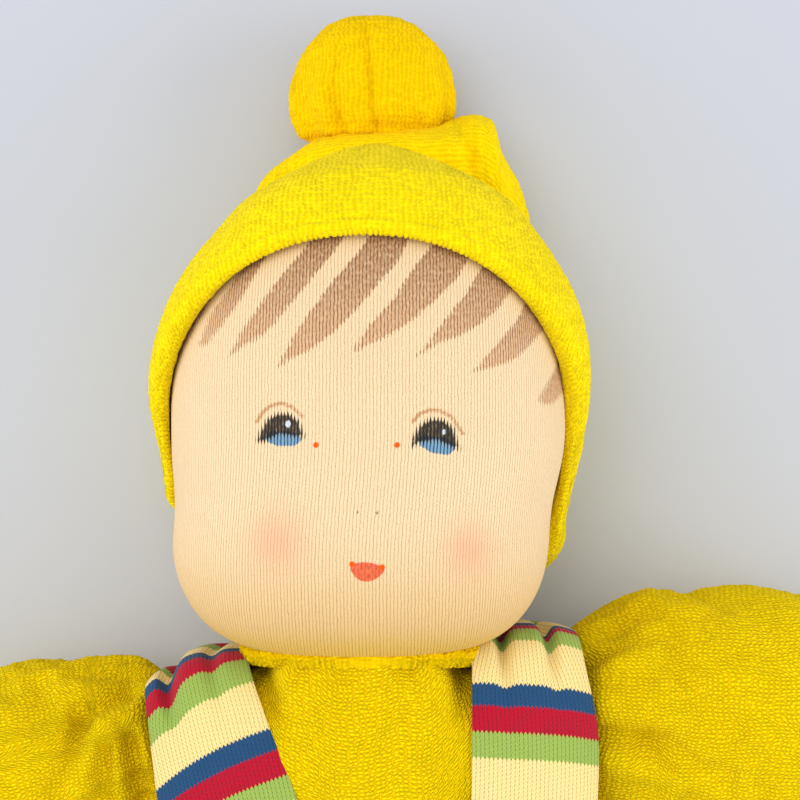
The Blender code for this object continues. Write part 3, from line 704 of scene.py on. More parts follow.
def roughen(points, amount):
    """Jitter points by a sum of fine waves, as the loops of terry do along its outline."""
    shift = np.zeros(points.shape)
    for axis, waves in enumerate(jitter_waves):
        for other, wave in enumerate(waves):
            shift[:, axis] += np.sin(points[:, other] * wave + axis + 2 * other)
    return points + shift * amount


def keep_off_floor(points, height=floor_gap):
    """Flatten a form where it rests."""
    points[:, 2] = np.maximum(points[:, 2], height)
    return points


def rounded(angle, power):
    """Sine and cosine of a rounded square, which at a power of 2 is a circle."""
    circle = (np.sin(angle), np.cos(angle))
    return [np.sign(side) * np.abs(side) ** (2 / power) for side in circle]


def start_round(share, start, power):
    """0 at the start of a form and 1 from a share of its length on, round between."""
    return (1 - np.clip(1 - share / start, 0, 1) ** power) ** (1 / power)


def end_round(share, start, end, power):
    """0 at both ends of a form and 1 between them."""
    return start_round(share, start, power) * start_round(1 - share, end, power)


def beside_line(points, start, end):
    """How far along a line each point lies, from 0 to 1, and how far away from it."""
    start = np.array(start, float)
    run = np.array(end, float) - start
    share = np.clip((points[:, :2] - start) @ run / (run @ run), 0, 1)
    return share, np.linalg.norm(points[:, :2] - start - share[:, None] * run, axis=1)


def ridge(points, start, end, width, height, fade=0.6):
    """How far a fold lifts each point as seen from the front; a groove has a negative height."""
    share, away = beside_line(points, start, end)
    return height * np.exp(-((away / width) ** 2)) * (1 - fade * share)


# %% [markdown]
# The ball and the sleeves are then left to settle as cloth. A coarse copy of each is cut a little larger
# than its form and blown up gently, with its gathered ends held, so that the extra cloth has to
# lie in wrinkles. How far it moved, up to a limit, is handed on to the fine piece.
# %% Settling by simulation
settle_frames = 20
settle_growth = 0.05
settle_pressure = 3.0
settle_neighbours = 5
settle_nearness = 0.0003


def settle_modifier(coarse, held):
    """Cloth with air pressure and no gravity, whose held points stay where they are."""
    group = coarse.vertex_groups.new(name="held")
    for index, weight in enumerate(held):
        group.add([index], float(weight), "REPLACE")
    cloth = coarse.modifiers.new("settle", "CLOTH")
    settings = cloth.settings
    settings.quality = 6
    settings.mass = 0.15
    settings.tension_stiffness = 12
    settings.compression_stiffness = 12
    settings.shear_stiffness = 4
    settings.bending_stiffness = 0.05
    settings.shrink_min = -settle_growth
    settings.use_pressure = True
    settings.uniform_pressure_force = settle_pressure
    settings.vertex_group_mass = "held"
    settings.effector_weights.gravity = 0
    cloth.point_cache.frame_end = settle_frames


def mesh_points(mesh):
    """The places of a mesh's points, as rows of x, y and z."""
    points = np.empty(len(mesh.vertices) * 3)
    mesh.vertices.foreach_get("co", points)
    return points.reshape(-1, 3)


def settle(piece, across, along, form, hold, limit):
    """Settle a piece, given how firmly each point of its form is held, from 0 to 1."""
    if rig.quick():
        return
    coarse, _ = cut_cloth("settling", across, along, form)
    start = mesh_points(coarse.data)
    held = hold(start)
    settle_modifier(coarse, held)
    for frame_number in range(1, settle_frames + 1):
        bpy.context.scene.frame_set(frame_number)
    evaluated = coarse.evaluated_get(bpy.context.evaluated_depsgraph_get())
    moved = mesh_points(evaluated.data) - start
    far = np.linalg.norm(moved, axis=1)
    moved *= (np.tanh(far / limit) * limit / np.maximum(far, 1e-9))[:, None]
    tree = kdtree.KDTree(len(start))
    for index, point in enumerate(start):
        tree.insert(point, index)
    tree.balance()
    points = mesh_points(piece.data)
    for index, point in enumerate(points):
        near = tree.find_n(point, settle_neighbours)
        share = np.array([1 / (distance + settle_nearness) ** 2 for _, _, distance in near])
        shift = moved[[at for _, at, _ in near]]
        points[index] = point + (shift * share[:, None]).sum(axis=0) / share.sum()
    piece.data.vertices.foreach_set("co", keep_off_floor(points).ravel())
    piece.data.update()
    bpy.data.objects.remove(coarse)
    bpy.context.scene.frame_set(1)
    print(piece.name, "settled, at most", round(float(far.max()) * 1000, 1), "mm before the limit")


# %% [markdown]
# The head is wool wound hard into a ball and tied at the height of the eyes, under one tube of
# tricot that is gathered at the crown and the neck. The form is a rounded egg, with that tie as a
# slight hollow at the sides and across the face, and fuller cheeks below it.
# %% The head's form
chin_y = 0.03555
crown_y = 0.15095
skin_low_y = chin_y
skin_high_y = 0.14695
skin_half_width = 0.0445
skin_half_depth = 0.0415
skin_z = 0.0445
egg_powers = (3.7, 2.0)
egg_depth_powers = (2.6, 2.0)
egg_section_power = 2.15
eye_line_y = 0.0690
eye_line_depth = 0.0016
eye_line_reach = 0.010
crown_middle_x = 0.0004
chin_middle_x = -0.0014
lean_high_y = 0.088
lean_low_y = 0.056
cheek_x = 0.021
cheek_y = 0.058
cheek_half_width = 0.014
cheek_half_length = 0.012
cheek_lift = 0.0008


def egg_size(place, powers):
    """The half-size of an egg at a place from -1 to 1, with one power for each half."""
    power = np.where(place < 0, powers[0], powers[1])
    return np.clip(1 - np.abs(place) ** power, 0, 1) ** (1 / power)


def egg_point(turn, place, centre_y, centre_z, width, length, depth, depth_powers):
    """A point on an egg at a turn about +Y, counted from the front, and a place along it."""
    sine, cosine = rounded(turn, egg_section_power)
    x = width * egg_size(place, egg_powers) * sine
    z = centre_z + depth * egg_size(place, depth_powers) * cosine
    return np.stack([x, centre_y + length * place, z], axis=1)


def head_form(u, v):
    """The head's skin from its shares round and along, with more points at the front."""
    spread = 2 * u - 1
    turn = math.pi * spread * (0.58 + 0.42 * spread**2)
    place = 0.55 * -np.cos(math.pi * v) + 0.45 * (2 * v - 1)
    middle = (skin_low_y + skin_high_y) / 2
    half = (skin_high_y - skin_low_y) / 2
    sizes = (skin_half_width, half, skin_half_depth)
    points = egg_point(turn, place, middle, skin_z, *sizes, egg_depth_powers)
    hollow = np.exp(-(((points[:, 1] - eye_line_y) / eye_line_reach) ** 2)) * eye_line_depth
    shrink = 1 - hollow / skin_half_width * (0.35 + 0.65 * np.sin(turn) ** 2)
    points[:, 0] *= shrink
    lean = step(-points[:, 1], -lean_high_y, -lean_low_y)
    points[:, 0] += crown_middle_x + (chin_middle_x - crown_middle_x) * lean
    points[:, 2] = skin_z + (points[:, 2] - skin_z) * shrink
    front = np.cos(turn) > 0
    for side in (-1, 1):
        aside = (points[:, 0] - side * cheek_x) / cheek_half_width
        above = (points[:, 1] - cheek_y) / cheek_half_length
        points[:, 2] += front * np.exp(-(aside**2 + above**2)) * cheek_lift
    return points


# %% [markdown]
# The painter's outlines are kept on the skin's points as distances, in pixels of the photograph,
# from the edge of each painted shape. The shader turns a distance into paint, and lets the knit
# break its edge. The outlines below follow what was painted, seen from straight above.
# %% Painted outlines
hair_strokes = (
    ((190, 300), (204, 296), (207, 306), (196, 326), (184, 350), (176, 368), (172, 368), (178, 344)),
    (
        (248, 248), (244, 265), (227, 290), (210, 315), (198, 345), (205, 346), (220, 329),
        (236, 307), (253, 279), (272, 246),
    ),
    (
        (316, 228), (306, 247), (283, 273), (262, 301), (241, 332), (228, 358), (244, 346),
        (264, 335), (286, 310), (309, 282), (331, 256), (352, 226),
    ),
    (
        (375, 222), (362, 248), (334, 279), (309, 313), (292, 338), (276, 369), (295, 357),
        (312, 349), (334, 332), (354, 313), (373, 290), (398, 262), (416, 226),
    ),
    (
        (442, 228), (432, 244), (412, 270), (393, 299), (370, 324), (351, 353), (373, 343),
        (390, 335), (412, 321), (435, 301), (457, 279), (480, 240),
    ),
    (
        (490, 252), (480, 270), (466, 293), (446, 318), (429, 341), (416, 357), (441, 342),
        (463, 335), (483, 322), (500, 307), (520, 278),
    ),
    (
        (532, 286), (526, 301), (516, 321), (497, 343), (483, 360), (473, 372), (494, 367),
        (514, 360), (530, 346), (552, 320),
    ),
    ((562, 352), (556, 366), (546, 386), (537, 400), (544, 405), (553, 404), (572, 384)),
)
lid_arcs = (
    ((257, 422), (262, 413), (270, 406), (281, 403), (292, 407), (303, 417)),
    ((413, 422), (419, 414), (430, 410), (441, 411), (452, 417), (463, 434)),
)
lash_outlines = (
    (
        (257, 441), (262, 429), (268, 419), (278, 414), (289, 414), (298, 421), (304, 437),
        (299, 437), (280, 434), (263, 442),
    ),
    (
        (412, 447), (414, 436), (420, 426), (431, 419), (443, 420), (453, 428), (459, 449),
        (454, 448), (436, 440), (418, 443),
    ),
)
iris_outlines = (
    ((264, 434), (272, 431), (290, 431), (300, 435), (302, 441), (294, 446), (277, 446), (267, 442)),
    ((417, 437), (425, 435), (443, 437), (454, 443), (456, 449), (449, 455), (432, 453), (420, 446)),
)
glints = ((288, 424, 2.7, 3.9), (444, 432, 2.0, 3.0))
corner_dots = ((316, 445, 3.1, 3.2), (397, 445, 3.3, 3.1), (352, 564, 3.2, 2.9), (382, 567, 3.1, 2.8))
nostril_dots = ((358, 512, 1.7, 2.2), (377, 513, 1.7, 2.2))
mouth_outline = (
    (350, 565), (357, 563), (363, 562), (372, 563), (379, 565), (385, 568), (384, 572), (379, 577),
    (374, 580), (367, 582), (361, 581), (355, 577), (351, 571),
)
blush_spots = ((276, 540, 27, 30), (468, 549, 25, 27))
lid_half_width = 1.8
deepest = 12


def line_distance(pixels, corners):
    """How far each pixel lies from a line through several corners."""
    return np.min([beside_line(pixels, *ends)[1] for ends in zip(corners, corners[1:])], axis=0)


def outline_depth(pixels, outline):
    """How deep each pixel lies inside an outline, negative outside it."""
    inside = np.zeros(len(pixels), bool)
    for start, end in zip(outline, outline[1:] + outline[:1]):
        crosses = (start[1] > pixels[:, 1]) != (end[1] > pixels[:, 1])
        height = (end[1] - start[1]) or 1
        reach = start[0] + (pixels[:, 1] - start[1]) / height * (end[0] - start[0])
        inside ^= crosses & (pixels[:, 0] < reach)
    distance = line_distance(pixels, outline + outline[:1])
    return np.where(inside, distance, -distance)


def tip_share(pixels, outline):
    """How far along a stroke each pixel lies, from the brim to the low tip."""
    rows = [row for _, row in outline]
    return np.clip((pixels[:, 1] - min(rows)) / (max(rows) - min(rows)), 0, 1)


def stroke_depth(pixels, outline):
    """How deep each pixel lies inside a brush stroke, whose paint thins towards its tip."""
    return outline_depth(pixels, outline) - 1.8 * tip_share(pixels, outline)


def oval_reach(pixels, oval):
    """How far out of an oval each pixel lies: 0 at its middle and 1 at its edge."""
    x, y, half_width, half_height = oval
    return np.hypot((pixels[:, 0] - x) / half_width, (pixels[:, 1] - y) / half_height)


def oval_depth(pixels, oval):
    return (1 - oval_reach(pixels, oval)) * min(oval[2:])


def lid_depth(pixels, arc):
    """How deep each pixel lies inside a thin brush line along an open arc."""
    return lid_half_width - line_distance(pixels, arc)


def keep_on(piece, name, values):
    """Keep one number for each of a piece's points, for its finish to read."""
    attribute = piece.data.attributes.new(name, "FLOAT", "POINT")
    attribute.data.foreach_set("value", values.astype(np.float32))


painted_shapes = {
    "hair": (stroke_depth, hair_strokes),
    "lid": (lid_depth, lid_arcs),
    "lashes": (outline_depth, lash_outlines),
    "iris": (outline_depth, iris_outlines),
    "glint": (oval_depth, glints),
    "dots": (oval_depth, corner_dots),
    "nostrils": (oval_depth, nostril_dots),
    "mouth": (outline_depth, (mouth_outline,)),
}


def paint_face(piece):
    """Keep the painted shapes' depths on the piece, on its front only."""
    points = np.array([vert.co for vert in piece.data.vertices])
    pixels = in_photo(points)
    front = points[:, 2] > skin_z
    for name, (depth_in, shapes) in painted_shapes.items():
        depth = np.max([depth_in(pixels, shape) for shape in shapes], axis=0)
        keep_on(piece, name, np.where(front, np.clip(depth, -deepest, deepest), -deepest))
    tips = [tip_share(pixels, shape) * (outline_depth(pixels, shape) > -6) for shape in hair_strokes]
    keep_on(piece, "hair_tip", np.max(tips, axis=0))
    blush = sum(np.exp(-(oval_reach(pixels, spot) ** 2)) * 0.5 for spot in blush_spots)
    keep_on(piece, "blush", np.where(front, blush, 0))
    print(", ".join(painted_shapes))


# %% [markdown]
# The skin is one cut, painted before it is hung. It also stands for the wound wool and the eye-line
# thread, because the tricot is drawn so tight that its form is theirs.
# %% The head
head, _ = cut_cloth("head", 280, 230, head_form)
paint_face(head)
finish_piece(head, face_tricot, "cream_tricot", "head", "head_skin", "head_core", "eye_line_thread")
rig.padded(head, fill=1.0)

# %% [markdown]
# The tricot runs on below the chin as a short neck, which its thread ties off inside the body.
# %% The neck
neck_half_width = 0.0125
neck_low_y = 0.0240
neck_high_y = 0.0420
neck_z = 0.036


def neck_form(u, v):
    """A short closed tube with small gathers, drawn in where its thread lies."""
    turn = 2 * math.pi * (u - 0.5)
    close = end_round(v, 0.25, 0.25, 2.0)
    waist = 1 - 0.10 * np.exp(-(((v - 0.35) / 0.12) ** 2))
    gather = 1 + 0.02 * np.sin(turn * 14)
    size = neck_half_width * close * waist * gather
    y = neck_low_y + (neck_high_y - neck_low_y) * v
    return np.stack([size * np.sin(turn), y, neck_z + size * np.cos(turn)], axis=1)


neck, _ = cut_cloth("neck", 90, 40, neck_form)
finish_piece(neck, hand_tricot, "cream_tricot", "neck_tie")
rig.padded(neck, fill=1.0)

# %% [markdown]
# The hood is one layer of terry that ends in a turned hem round the face. It is full and thick
# over the forehead, and thins to nothing where it runs back under the cheeks. The cut runs from
# the crown down to its edge, and its last rows roll the hem inwards.
# %% The hood's form
hood_half_width = 0.0500
hood_half_depth = 0.0455
hood_z = 0.0450
hood_depth_powers = (3.0, 2.0)
hood_y = (chin_y + crown_y) / 2
hood_half_length = (crown_y - chin_y) / 2
brim_side_z = 0.0526
brim_slope = 0.69
crown_peak_x = 0.0030
crown_peak_round = 0.0030
crown_slope = 0.13
crown_drop = 0.014
crown_rise = 0.0016
side_low_z = 0.058
side_high_z = 0.073
edge_corner = 0.003
nape_middle_y = 0.0595
nape_tilt = -0.0100
hem_least_radius = 0.0014
hem_most_radius = 0.0031
small_step = 0.004
hem_rows_share = 0.16
hem_tuck = 0.005
hem_seam_from_edge = 0.0008
hem_seam_half_width = 0.0006
hem_seam_depth = 0.0004
lower_ends_y = {"left": (0.0860, 0.0450), "right": (0.0900, 0.0600)}
hood_side_keys = {
    "left": (
        (0.0500, 1.075), (0.0607, 1.048), (0.0653, 1.000), (0.0746, 0.968), (0.0840, 0.980),
        (0.0932, 1.006), (0.1072, 1.026), (0.1165, 1.028), (0.1258, 1.016), (0.1400, 1.010),
    ),
    "right": (
        (0.0600, 1.010), (0.0700, 1.010), (0.0746, 0.978), (0.0840, 0.955), (0.0932, 0.977),
        (0.1072, 0.980), (0.1165, 0.966), (0.1258, 0.932), (0.1326, 0.890), (0.1400, 0.855),
    ),
}


def hood_surface(turn, place):
    """The hood without its hem: an egg with its sides, crown and lower ends as they are worn."""
    sizes = (hood_half_width, hood_half_length, hood_half_depth)
    points = egg_point(turn, place, hood_y, hood_z, *sizes, hood_depth_powers)
    y = points[:, 1]
    left = smooth_curve(hood_side_keys["left"], y)
    right = smooth_curve(hood_side_keys["right"], y)
    points[:, 2] -= crown_drop * step(place, 0.84, 1.0)
    points[:, 1] += crown_rise * step(place, 0.60, 1.0)
    aslant = np.hypot(points[:, 0] - crown_peak_x, crown_peak_round)
    points[:, 1] -= crown_slope * (aslant - crown_peak_round) * step(place, 0.74, 0.95)
    aside = 1 - step(points[:, 2], side_low_z, side_high_z)
    points[:, 0] *= 1 + (np.where(points[:, 0] > 0, left, right) - 1) * aside
    ends = zip(lower_ends_y["left"], lower_ends_y["right"])
    high, low = [np.where(points[:, 0] > 0, *pair) for pair in ends]
    hug = step(high - y, 0, high - low) * np.abs(np.sin(turn)) ** 1.5
    points[:, 0] *= 1 - 0.085 * hug
    return points


def hood_edge_place(turn):
    """Where the hood ends at each turn: at the slanting brim, or at the nape behind it."""
    low = np.full(len(turn), -0.98)
    high = np.full(len(turn), 0.999)
    for _ in range(30):
        middle = (low + high) / 2
        points = hood_surface(turn, middle)
        past_brim = points[:, 2] - brim_side_z - brim_slope * (points[:, 1] - hood_y)
        past_nape = nape_middle_y + nape_tilt * points[:, 0] / hood_half_width - points[:, 1]
        past = np.log(np.exp(past_brim / edge_corner) + np.exp(past_nape / edge_corner))
        low = np.where(past > 0, middle, low)
        high = np.where(past > 0, high, middle)
    return (low + high) / 2


def unit(vectors):
    """Vectors of length 1 in the same directions."""
    return vectors / np.maximum(np.linalg.norm(vectors, axis=1), 1e-12)[:, None]


def hood_edge(turn):
    """The hood's edge, with the directions out of the cloth and on past the edge."""
    place = hood_edge_place(turn)
    edge = hood_surface(turn, place)
    after = turn + small_step
    before = turn - small_step
    ahead = hood_surface(after, hood_edge_place(after))
    behind = hood_surface(before, hood_edge_place(before))
    along = unit(ahead - behind)
    ring = hood_surface(after, place) - hood_surface(before, place)
    meridian = hood_surface(turn, place - small_step) - edge
    out = unit(np.cross(meridian, ring))
    centre = np.array([0, hood_y, hood_z])
    out *= np.sign(np.sum(out * (edge - centre), axis=1))[:, None]
    onward = unit(np.cross(out, along))
    onward *= np.sign(np.sum(onward * meridian, axis=1))[:, None]
    return place, edge, out, onward


def skin_level(points):
    """Below 1 inside the head's skin, and above 1 outside it."""
    place = np.clip((points[:, 1] - hood_y) / (skin_high_y - skin_low_y) * 2, -0.999, 0.999)
    wide = skin_half_width * egg_size(place, egg_powers)
    deep = skin_half_depth * egg_size(place, egg_depth_powers)
    across = np.abs(points[:, 0]) / wide
    return across**egg_section_power + (np.abs(points[:, 2] - skin_z) / deep) ** egg_section_power


def hem_radius(edge):
    """Half of the room between the hood's edge and the skin, so that the rolled hem fills it."""
    centre = np.array([0, hood_y, hood_z])
    low = np.full(len(edge), 0.7)
    high = np.full(len(edge), 1.0)
    for _ in range(20):
        middle = (low + high) / 2
        outside = skin_level(centre + (edge - centre) * middle[:, None]) > 1
        high = np.where(outside, middle, high)
        low = np.where(outside, low, middle)
    room = np.linalg.norm(edge - centre, axis=1) * (1 - high)
    return np.clip(room / 2, hem_least_radius, hem_most_radius)


def hood_form(u, v):
    """The hood from crown to edge, and its last rows as the hem that rolls inwards."""
    turn = math.pi * (2 * u - 1)
    edge_place, edge, out, onward = hood_edge(turn)
    share = np.clip(v / (1 - hem_rows_share), 0, 1)
    bend = 1 - (1 - share) ** 1.6 * 0.35
    place = 1 - (1 - edge_place) * (share * bend) ** 1.35
    points = hood_surface(turn, place)
    radius = hem_radius(edge)
    rolled = np.clip((v - (1 - hem_rows_share)) / hem_rows_share, 0, 1)
    angle = np.clip(rolled / 0.7, 0, 1) * math.pi
    inside = np.clip((rolled - 0.7) / 0.3, 0, 1) * hem_tuck
    roll = edge - out * (radius * (1 - np.cos(angle)))[:, None]
    roll += onward * (radius * np.sin(angle) - inside)[:, None]
    points = np.where((rolled > 0)[:, None], roll, points)
    to_edge = np.linalg.norm(points - edge, axis=1)
    seam = np.exp(-(((to_edge - hem_seam_from_edge) / hem_seam_half_width) ** 2)) * (rolled <= 0)
    points -= out * (hem_seam_depth * seam)[:, None]
    return roughen(keep_off_floor(points), terry_jitter)


# %% [markdown]
# The hood's cut closes at the nape. It needs a fine grid, since the hem turns in a few millimetres.
# %% The hood
hood, hood_cut = cut_cloth("hood_cloth", 300, 150, hood_form)
finish_piece(hood, hood_terry_lit, "yellow_terry", "head", "hood")

# %% [markdown]
# Where the terry is turned under at the brim, its last row of loops stands out on the forehead as
# a line of small beads. It is a thin tube along the edge, with a bulge for each loop.
# %% Loops along the brim
bead_length = 0.00128
bead_radius = 0.00105
brim_turn = math.radians(113)


def brim_path(u):
    """The line of the last loops, just inside the hem, with the directions out and onward."""
    _, edge, out, onward = hood_edge(brim_turn * (2 * u - 1))
    radius = hem_radius(edge)
    return edge - out * (radius * 1.15)[:, None] + onward * (radius * 0.62)[:, None], out, onward


def beads_form(u, v):
    """A thin tube along the brim whose size swells once for each loop."""
    middle, out, onward = brim_path(u)
    order = np.unique(np.round(u, 6))
    path, _, _ = brim_path(order)
    length = np.concatenate([[0], np.cumsum(np.linalg.norm(np.diff(path, axis=0), axis=1))])
    run = np.interp(u, order, length)
    beat = np.sin(math.pi * run / bead_length + 0.7 * np.sin(run * 900))
    ends = step(u, 0, 0.02) * step(1 - u, 0, 0.02)
    size = bead_radius * (0.62 + 0.5 * np.abs(beat) ** 0.8) * (0.25 + 0.75 * ends)
    size = size * end_round(u, 0.002, 0.002, 2.0)
    angle = 2 * math.pi * v
    lift = (np.cos(angle) * size)[:, None] * out + (np.sin(angle) * size)[:, None] * onward
    return middle + lift


brim_loops, _ = cut_cloth("brim_loops", 1300, 8, beads_form)
finish_piece(brim_loops, hood_terry_lit, "yellow_terry", "head")
declare_sheet(hood, hood_cut, "stretched", ["head"], [brim_loops])

# %% [markdown]
# Behind the crown the hood runs on as a slack cone, which lies folded across the back of the head
# before it is gathered into the ball on its tip. From above it is one broad soft fold, with a
# smaller fold pushed up beside the ball.
# %% The hood's tail
tail_left_x = -0.0280
tail_right_x = 0.0389
tail_low_keys = ((0, 0.1290), (0.5, 0.1300), (0.8, 0.1270), (1, 0.1180))
tail_high_keys = (
    (0, 0.1450), (0.10, 0.1490), (0.25, 0.1555), (0.5, 0.1580), (0.68, 0.1588), (0.74, 0.1603),
    (0.83, 0.1603), (0.865, 0.1585), (0.885, 0.1535), (0.91, 0.1505), (0.95, 0.1480), (1, 0.1420),
)
tail_top_keys = ((0, 0.0290), (0.15, 0.0310), (0.5, 0.0340), (0.85, 0.0310), (1, 0.0290))
tail_bottom_keys = ((0, 0.0040), (0.15, 0.0030), (0.85, 0.0030), (1, 0.0040))
tail_folds = (
    ((-0.018, 0.1515), (0.020, 0.1525), 0.0042, 0.0035, 0),
    ((0.026, 0.1570), (0.033, 0.1400), 0.0045, 0.0030, 0.3),
    ((0.021, 0.1590), (0.024, 0.1480), 0.0018, -0.0030, 0.3),
    ((-0.026, 0.1490), (-0.016, 0.1400), 0.0030, 0.0022, 0.3),
)
tail_jitter = 0.08 * mm


def tail_form(u, v):
    """A flattened tube that lies across the back of the head, with its folds on the front."""
    share = (1 - np.cos(math.pi * v)) / 2
    x = tail_left_x + (tail_right_x - tail_left_x) * share
    low = smooth_curve(tail_low_keys, share)
    high = smooth_curve(tail_high_keys, share)
    top = smooth_curve(tail_top_keys, share)
    bottom = smooth_curve(tail_bottom_keys, share)
    ends = end_round(share, 0.11, 0.16, 2.2)
    angle = 2 * math.pi * (u - 0.5)
    sine, cosine = rounded(angle, 2.3)
    y = (low + high) / 2 + (high - low) / 2 * sine * ends
    z = (top + bottom) / 2 + (top - bottom) / 2 * cosine * ends
    points = np.stack([x, y, z], axis=1)
    front = np.clip(cosine, 0, 1)
    points[:, 2] += front * sum(ridge(points, *fold) for fold in tail_folds)
    return roughen(points, tail_jitter)


tail, _ = cut_cloth("hood_tail_cloth", 110, 130, tail_form)
finish_piece(tail, tail_terry_shaded, "yellow_terry", "hood_tail", "hood_tail")
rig.padded(tail, fill=0.1)

# %% [markdown]
# The ball is a round cut of terry, filled and drawn together by a thread. Its pleats start at the
# tie and fade out over the ball, which the pull of the thread makes a little flat.
# %% The bobble
bobble_x = 0.0009
bobble_y = 0.1686
bobble_z = 0.0170
bobble_half_width = 0.0198
bobble_half_depth = 0.0172
bobble_half_length = 0.0158
bobble_size_keys = (
    (-1.0, 0.0), (-0.97, 0.45), (-0.88, 0.80), (-0.72, 0.93), (-0.5, 0.985), (-0.2, 1.0),
    (0.15, 0.955), (0.45, 0.845), (0.7, 0.68), (0.88, 0.46), (0.97, 0.23), (1.0, 0.0),
)
pleat_turns = (-2.5, -1.75, -0.95, -0.42, -0.08, 0.55, 1.2, 1.9, 2.7)
longest_pleat = 4
bobble_held_y = 0.157
bobble_free_y = 0.163
bobble_settling = 0.0004
bobble_folds = (
    ((350, 134), (322, 76), 0.0024, 0.0034, 0.9),
    ((377, 134), (367, 24), 0.0011, 0.0016, 0.5),
    ((378, 128), (434, 126), 0.0022, 0.0046, 0.1),
    ((440, 118), (424, 92), 0.0020, 0.0018, 0.8),
)


def bobble_form(u, v):
    """The ball from the tie to its top, with its pleats and the folds that show from above."""
    turn = 2 * math.pi * (u - 0.5)
    polar = math.pi * v
    place = -np.cos(polar)
    size = smooth_curve(bobble_size_keys, place)
    near_tie = step(-place, -0.75, 0.9)
    pleat = np.zeros(len(u))
    for index, middle in enumerate(pleat_turns):
        away = np.angle(np.exp(1j * (turn - middle)))
        sharp = 0.075 + 0.05 * (index % 3) + 0.05 * near_tie
        reach = near_tie if index != longest_pleat else 0.5 + 0.5 * near_tie
        pleat += np.exp(-((away / sharp) ** 2)) * reach
    size = size * (1 - 0.085 * pleat)
    x = bobble_half_width * size * np.sin(turn)
    z = bobble_half_depth * size * np.cos(turn)
    y = bobble_half_length * place * (1 - 0.06 * pleat * size)
    points = np.stack([x, y, z], axis=1) + np.array([bobble_x, bobble_y, bobble_z])
    front = np.clip(np.cos(turn), 0, 1) * np.sin(polar)
    for start, end, width, depth, fade in bobble_folds:
        line = (from_photo(start, bobble_z * 2), from_photo(end, bobble_z * 2))
        points[:, 2] -= front * ridge(points, *line, width, depth, fade)
    return roughen(keep_off_floor(points), terry_jitter)


bobble, _ = cut_cloth("bobble_cloth", 190, 110, bobble_form)
finish_piece(bobble, ball_terry_shaded, "yellow_terry", "bobble", "bobble_cover", "bobble_filling")


def bobble_hold(points):
    return 1 - step(points[:, 1], bobble_held_y, bobble_free_y)


settle(bobble, 72, 44, bobble_form, bobble_hold, bobble_settling)
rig.padded(bobble, fill=0.9)

# %% [markdown]
# The trunk is a soft bag of terry, fuller at the belly and drawn in at the neck. It carries the
# hollows where straps and arms pull at it, and the small gathers that the neck thread makes.
# %% The trunk's form
torso_half_width = 0.0505
torso_half_depth = 0.0270
torso_top_y = 0.03435
torso_bottom_y = -0.0735
torso_z = 0.0280
torso_power = 3.0
torso_width_keys = ((0, 0.96), (0.15, 1.0), (0.4, 0.97), (0.7, 0.96), (0.9, 0.94), (1, 0.92))
torso_depth_keys = ((0, 0.97), (0.2, 1.0), (0.42, 0.965), (0.6, 0.945), (1, 0.945))
torso_drop_keys = ((0, 0), (0.3, 0), (0.5, -0.0015), (1, -0.0015))
torso_front_start = 0.13


def torso_sizes(share, front_start=torso_front_start):
    """The trunk's half-width, half-depth and middle height at a share from neck to seat."""
    ends = end_round(share, 0.10, 0.16, 2.2)
    wide = torso_half_width * smooth_curve(torso_width_keys, share) * ends
    front = end_round(share, front_start, 0.24, 2.2)
    deep = torso_half_depth * smooth_curve(torso_depth_keys, share) * front
    return wide, deep, torso_z + smooth_curve(torso_drop_keys, share)


def torso_point(turn, share, front_start=torso_front_start):
    """A point of the trunk at a turn about +Y, counted from the front, and a share down it."""
    wide, deep, z = torso_sizes(share, front_start)
    sine, cosine = rounded(turn, torso_power)
    y = torso_top_y - (torso_top_y - torso_bottom_y) * share
    return np.stack([wide * sine, y, z + deep * cosine], axis=1)


neckline_rise = 0.0028
neckline_front_start = 0.022
neck_gather = 0.0012
shoulder_front_start = 0.19
left_strap_inner_x = 0.0215
right_strap_inner_keys = ((0.018, 0.0185), (0.037, 0.0260))
strap_edge_fade = 0.0045
strap_room = 0.0026
chest_z = 0.055
trunk_folds = (
    ((262, 672), (292, 735), 0.0035, -0.0012),
    ((452, 676), (440, 745), 0.0040, -0.0012),
    ((330, 672), (345, 700), 0.0022, -0.0008),
    ((400, 672), (392, 704), 0.0024, -0.0009),
    ((300, 780), (430, 790), 0.0090, 0.0008),
)


def trunk_form(u, v):
    """The trunk, full up to the neckline between the straps and sloping away under them."""
    turn = 2 * math.pi * (u - 0.5)
    share = 0.5 * (1 - np.cos(math.pi * v)) + 0.5 * v
    full = torso_point(turn, share, neckline_front_start)
    points = torso_point(turn, share, shoulder_front_start)
    right_inner_x = np.interp(full[:, 1], *zip(*right_strap_inner_keys))
    inner_edge = np.where(full[:, 0] > 0, left_strap_inner_x, right_inner_x)
    between_straps = 1 - step(np.abs(full[:, 0]), inner_edge - strap_edge_fade, inner_edge)
    points += (full - points) * between_straps[:, None]
    points[:, 1] += neckline_rise * between_straps * (1 - step(share, 0, 0.14))
    front = np.clip(np.cos(turn), 0, 1) ** 0.5
    lift = np.exp(-share / 0.07) * neck_gather * np.sin(turn * 26 + 1.4 * np.sin(turn * 5))
    for start, end, width, height in trunk_folds:
        line = (from_photo(start, chest_z), from_photo(end, chest_z))
        lift += ridge(points, *line, width, height)
    points[:, 2] += front * lift * step(share, 0, 0.02)
    return roughen(keep_off_floor(points, strap_room), terry_jitter)


trunk, _ = cut_cloth("trunk_cloth", 240, 150, trunk_form)
finish_piece(trunk, suit_terry, "yellow_terry", "torso", "body_cover", "body_filling")
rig.padded(trunk, fill=0.8)

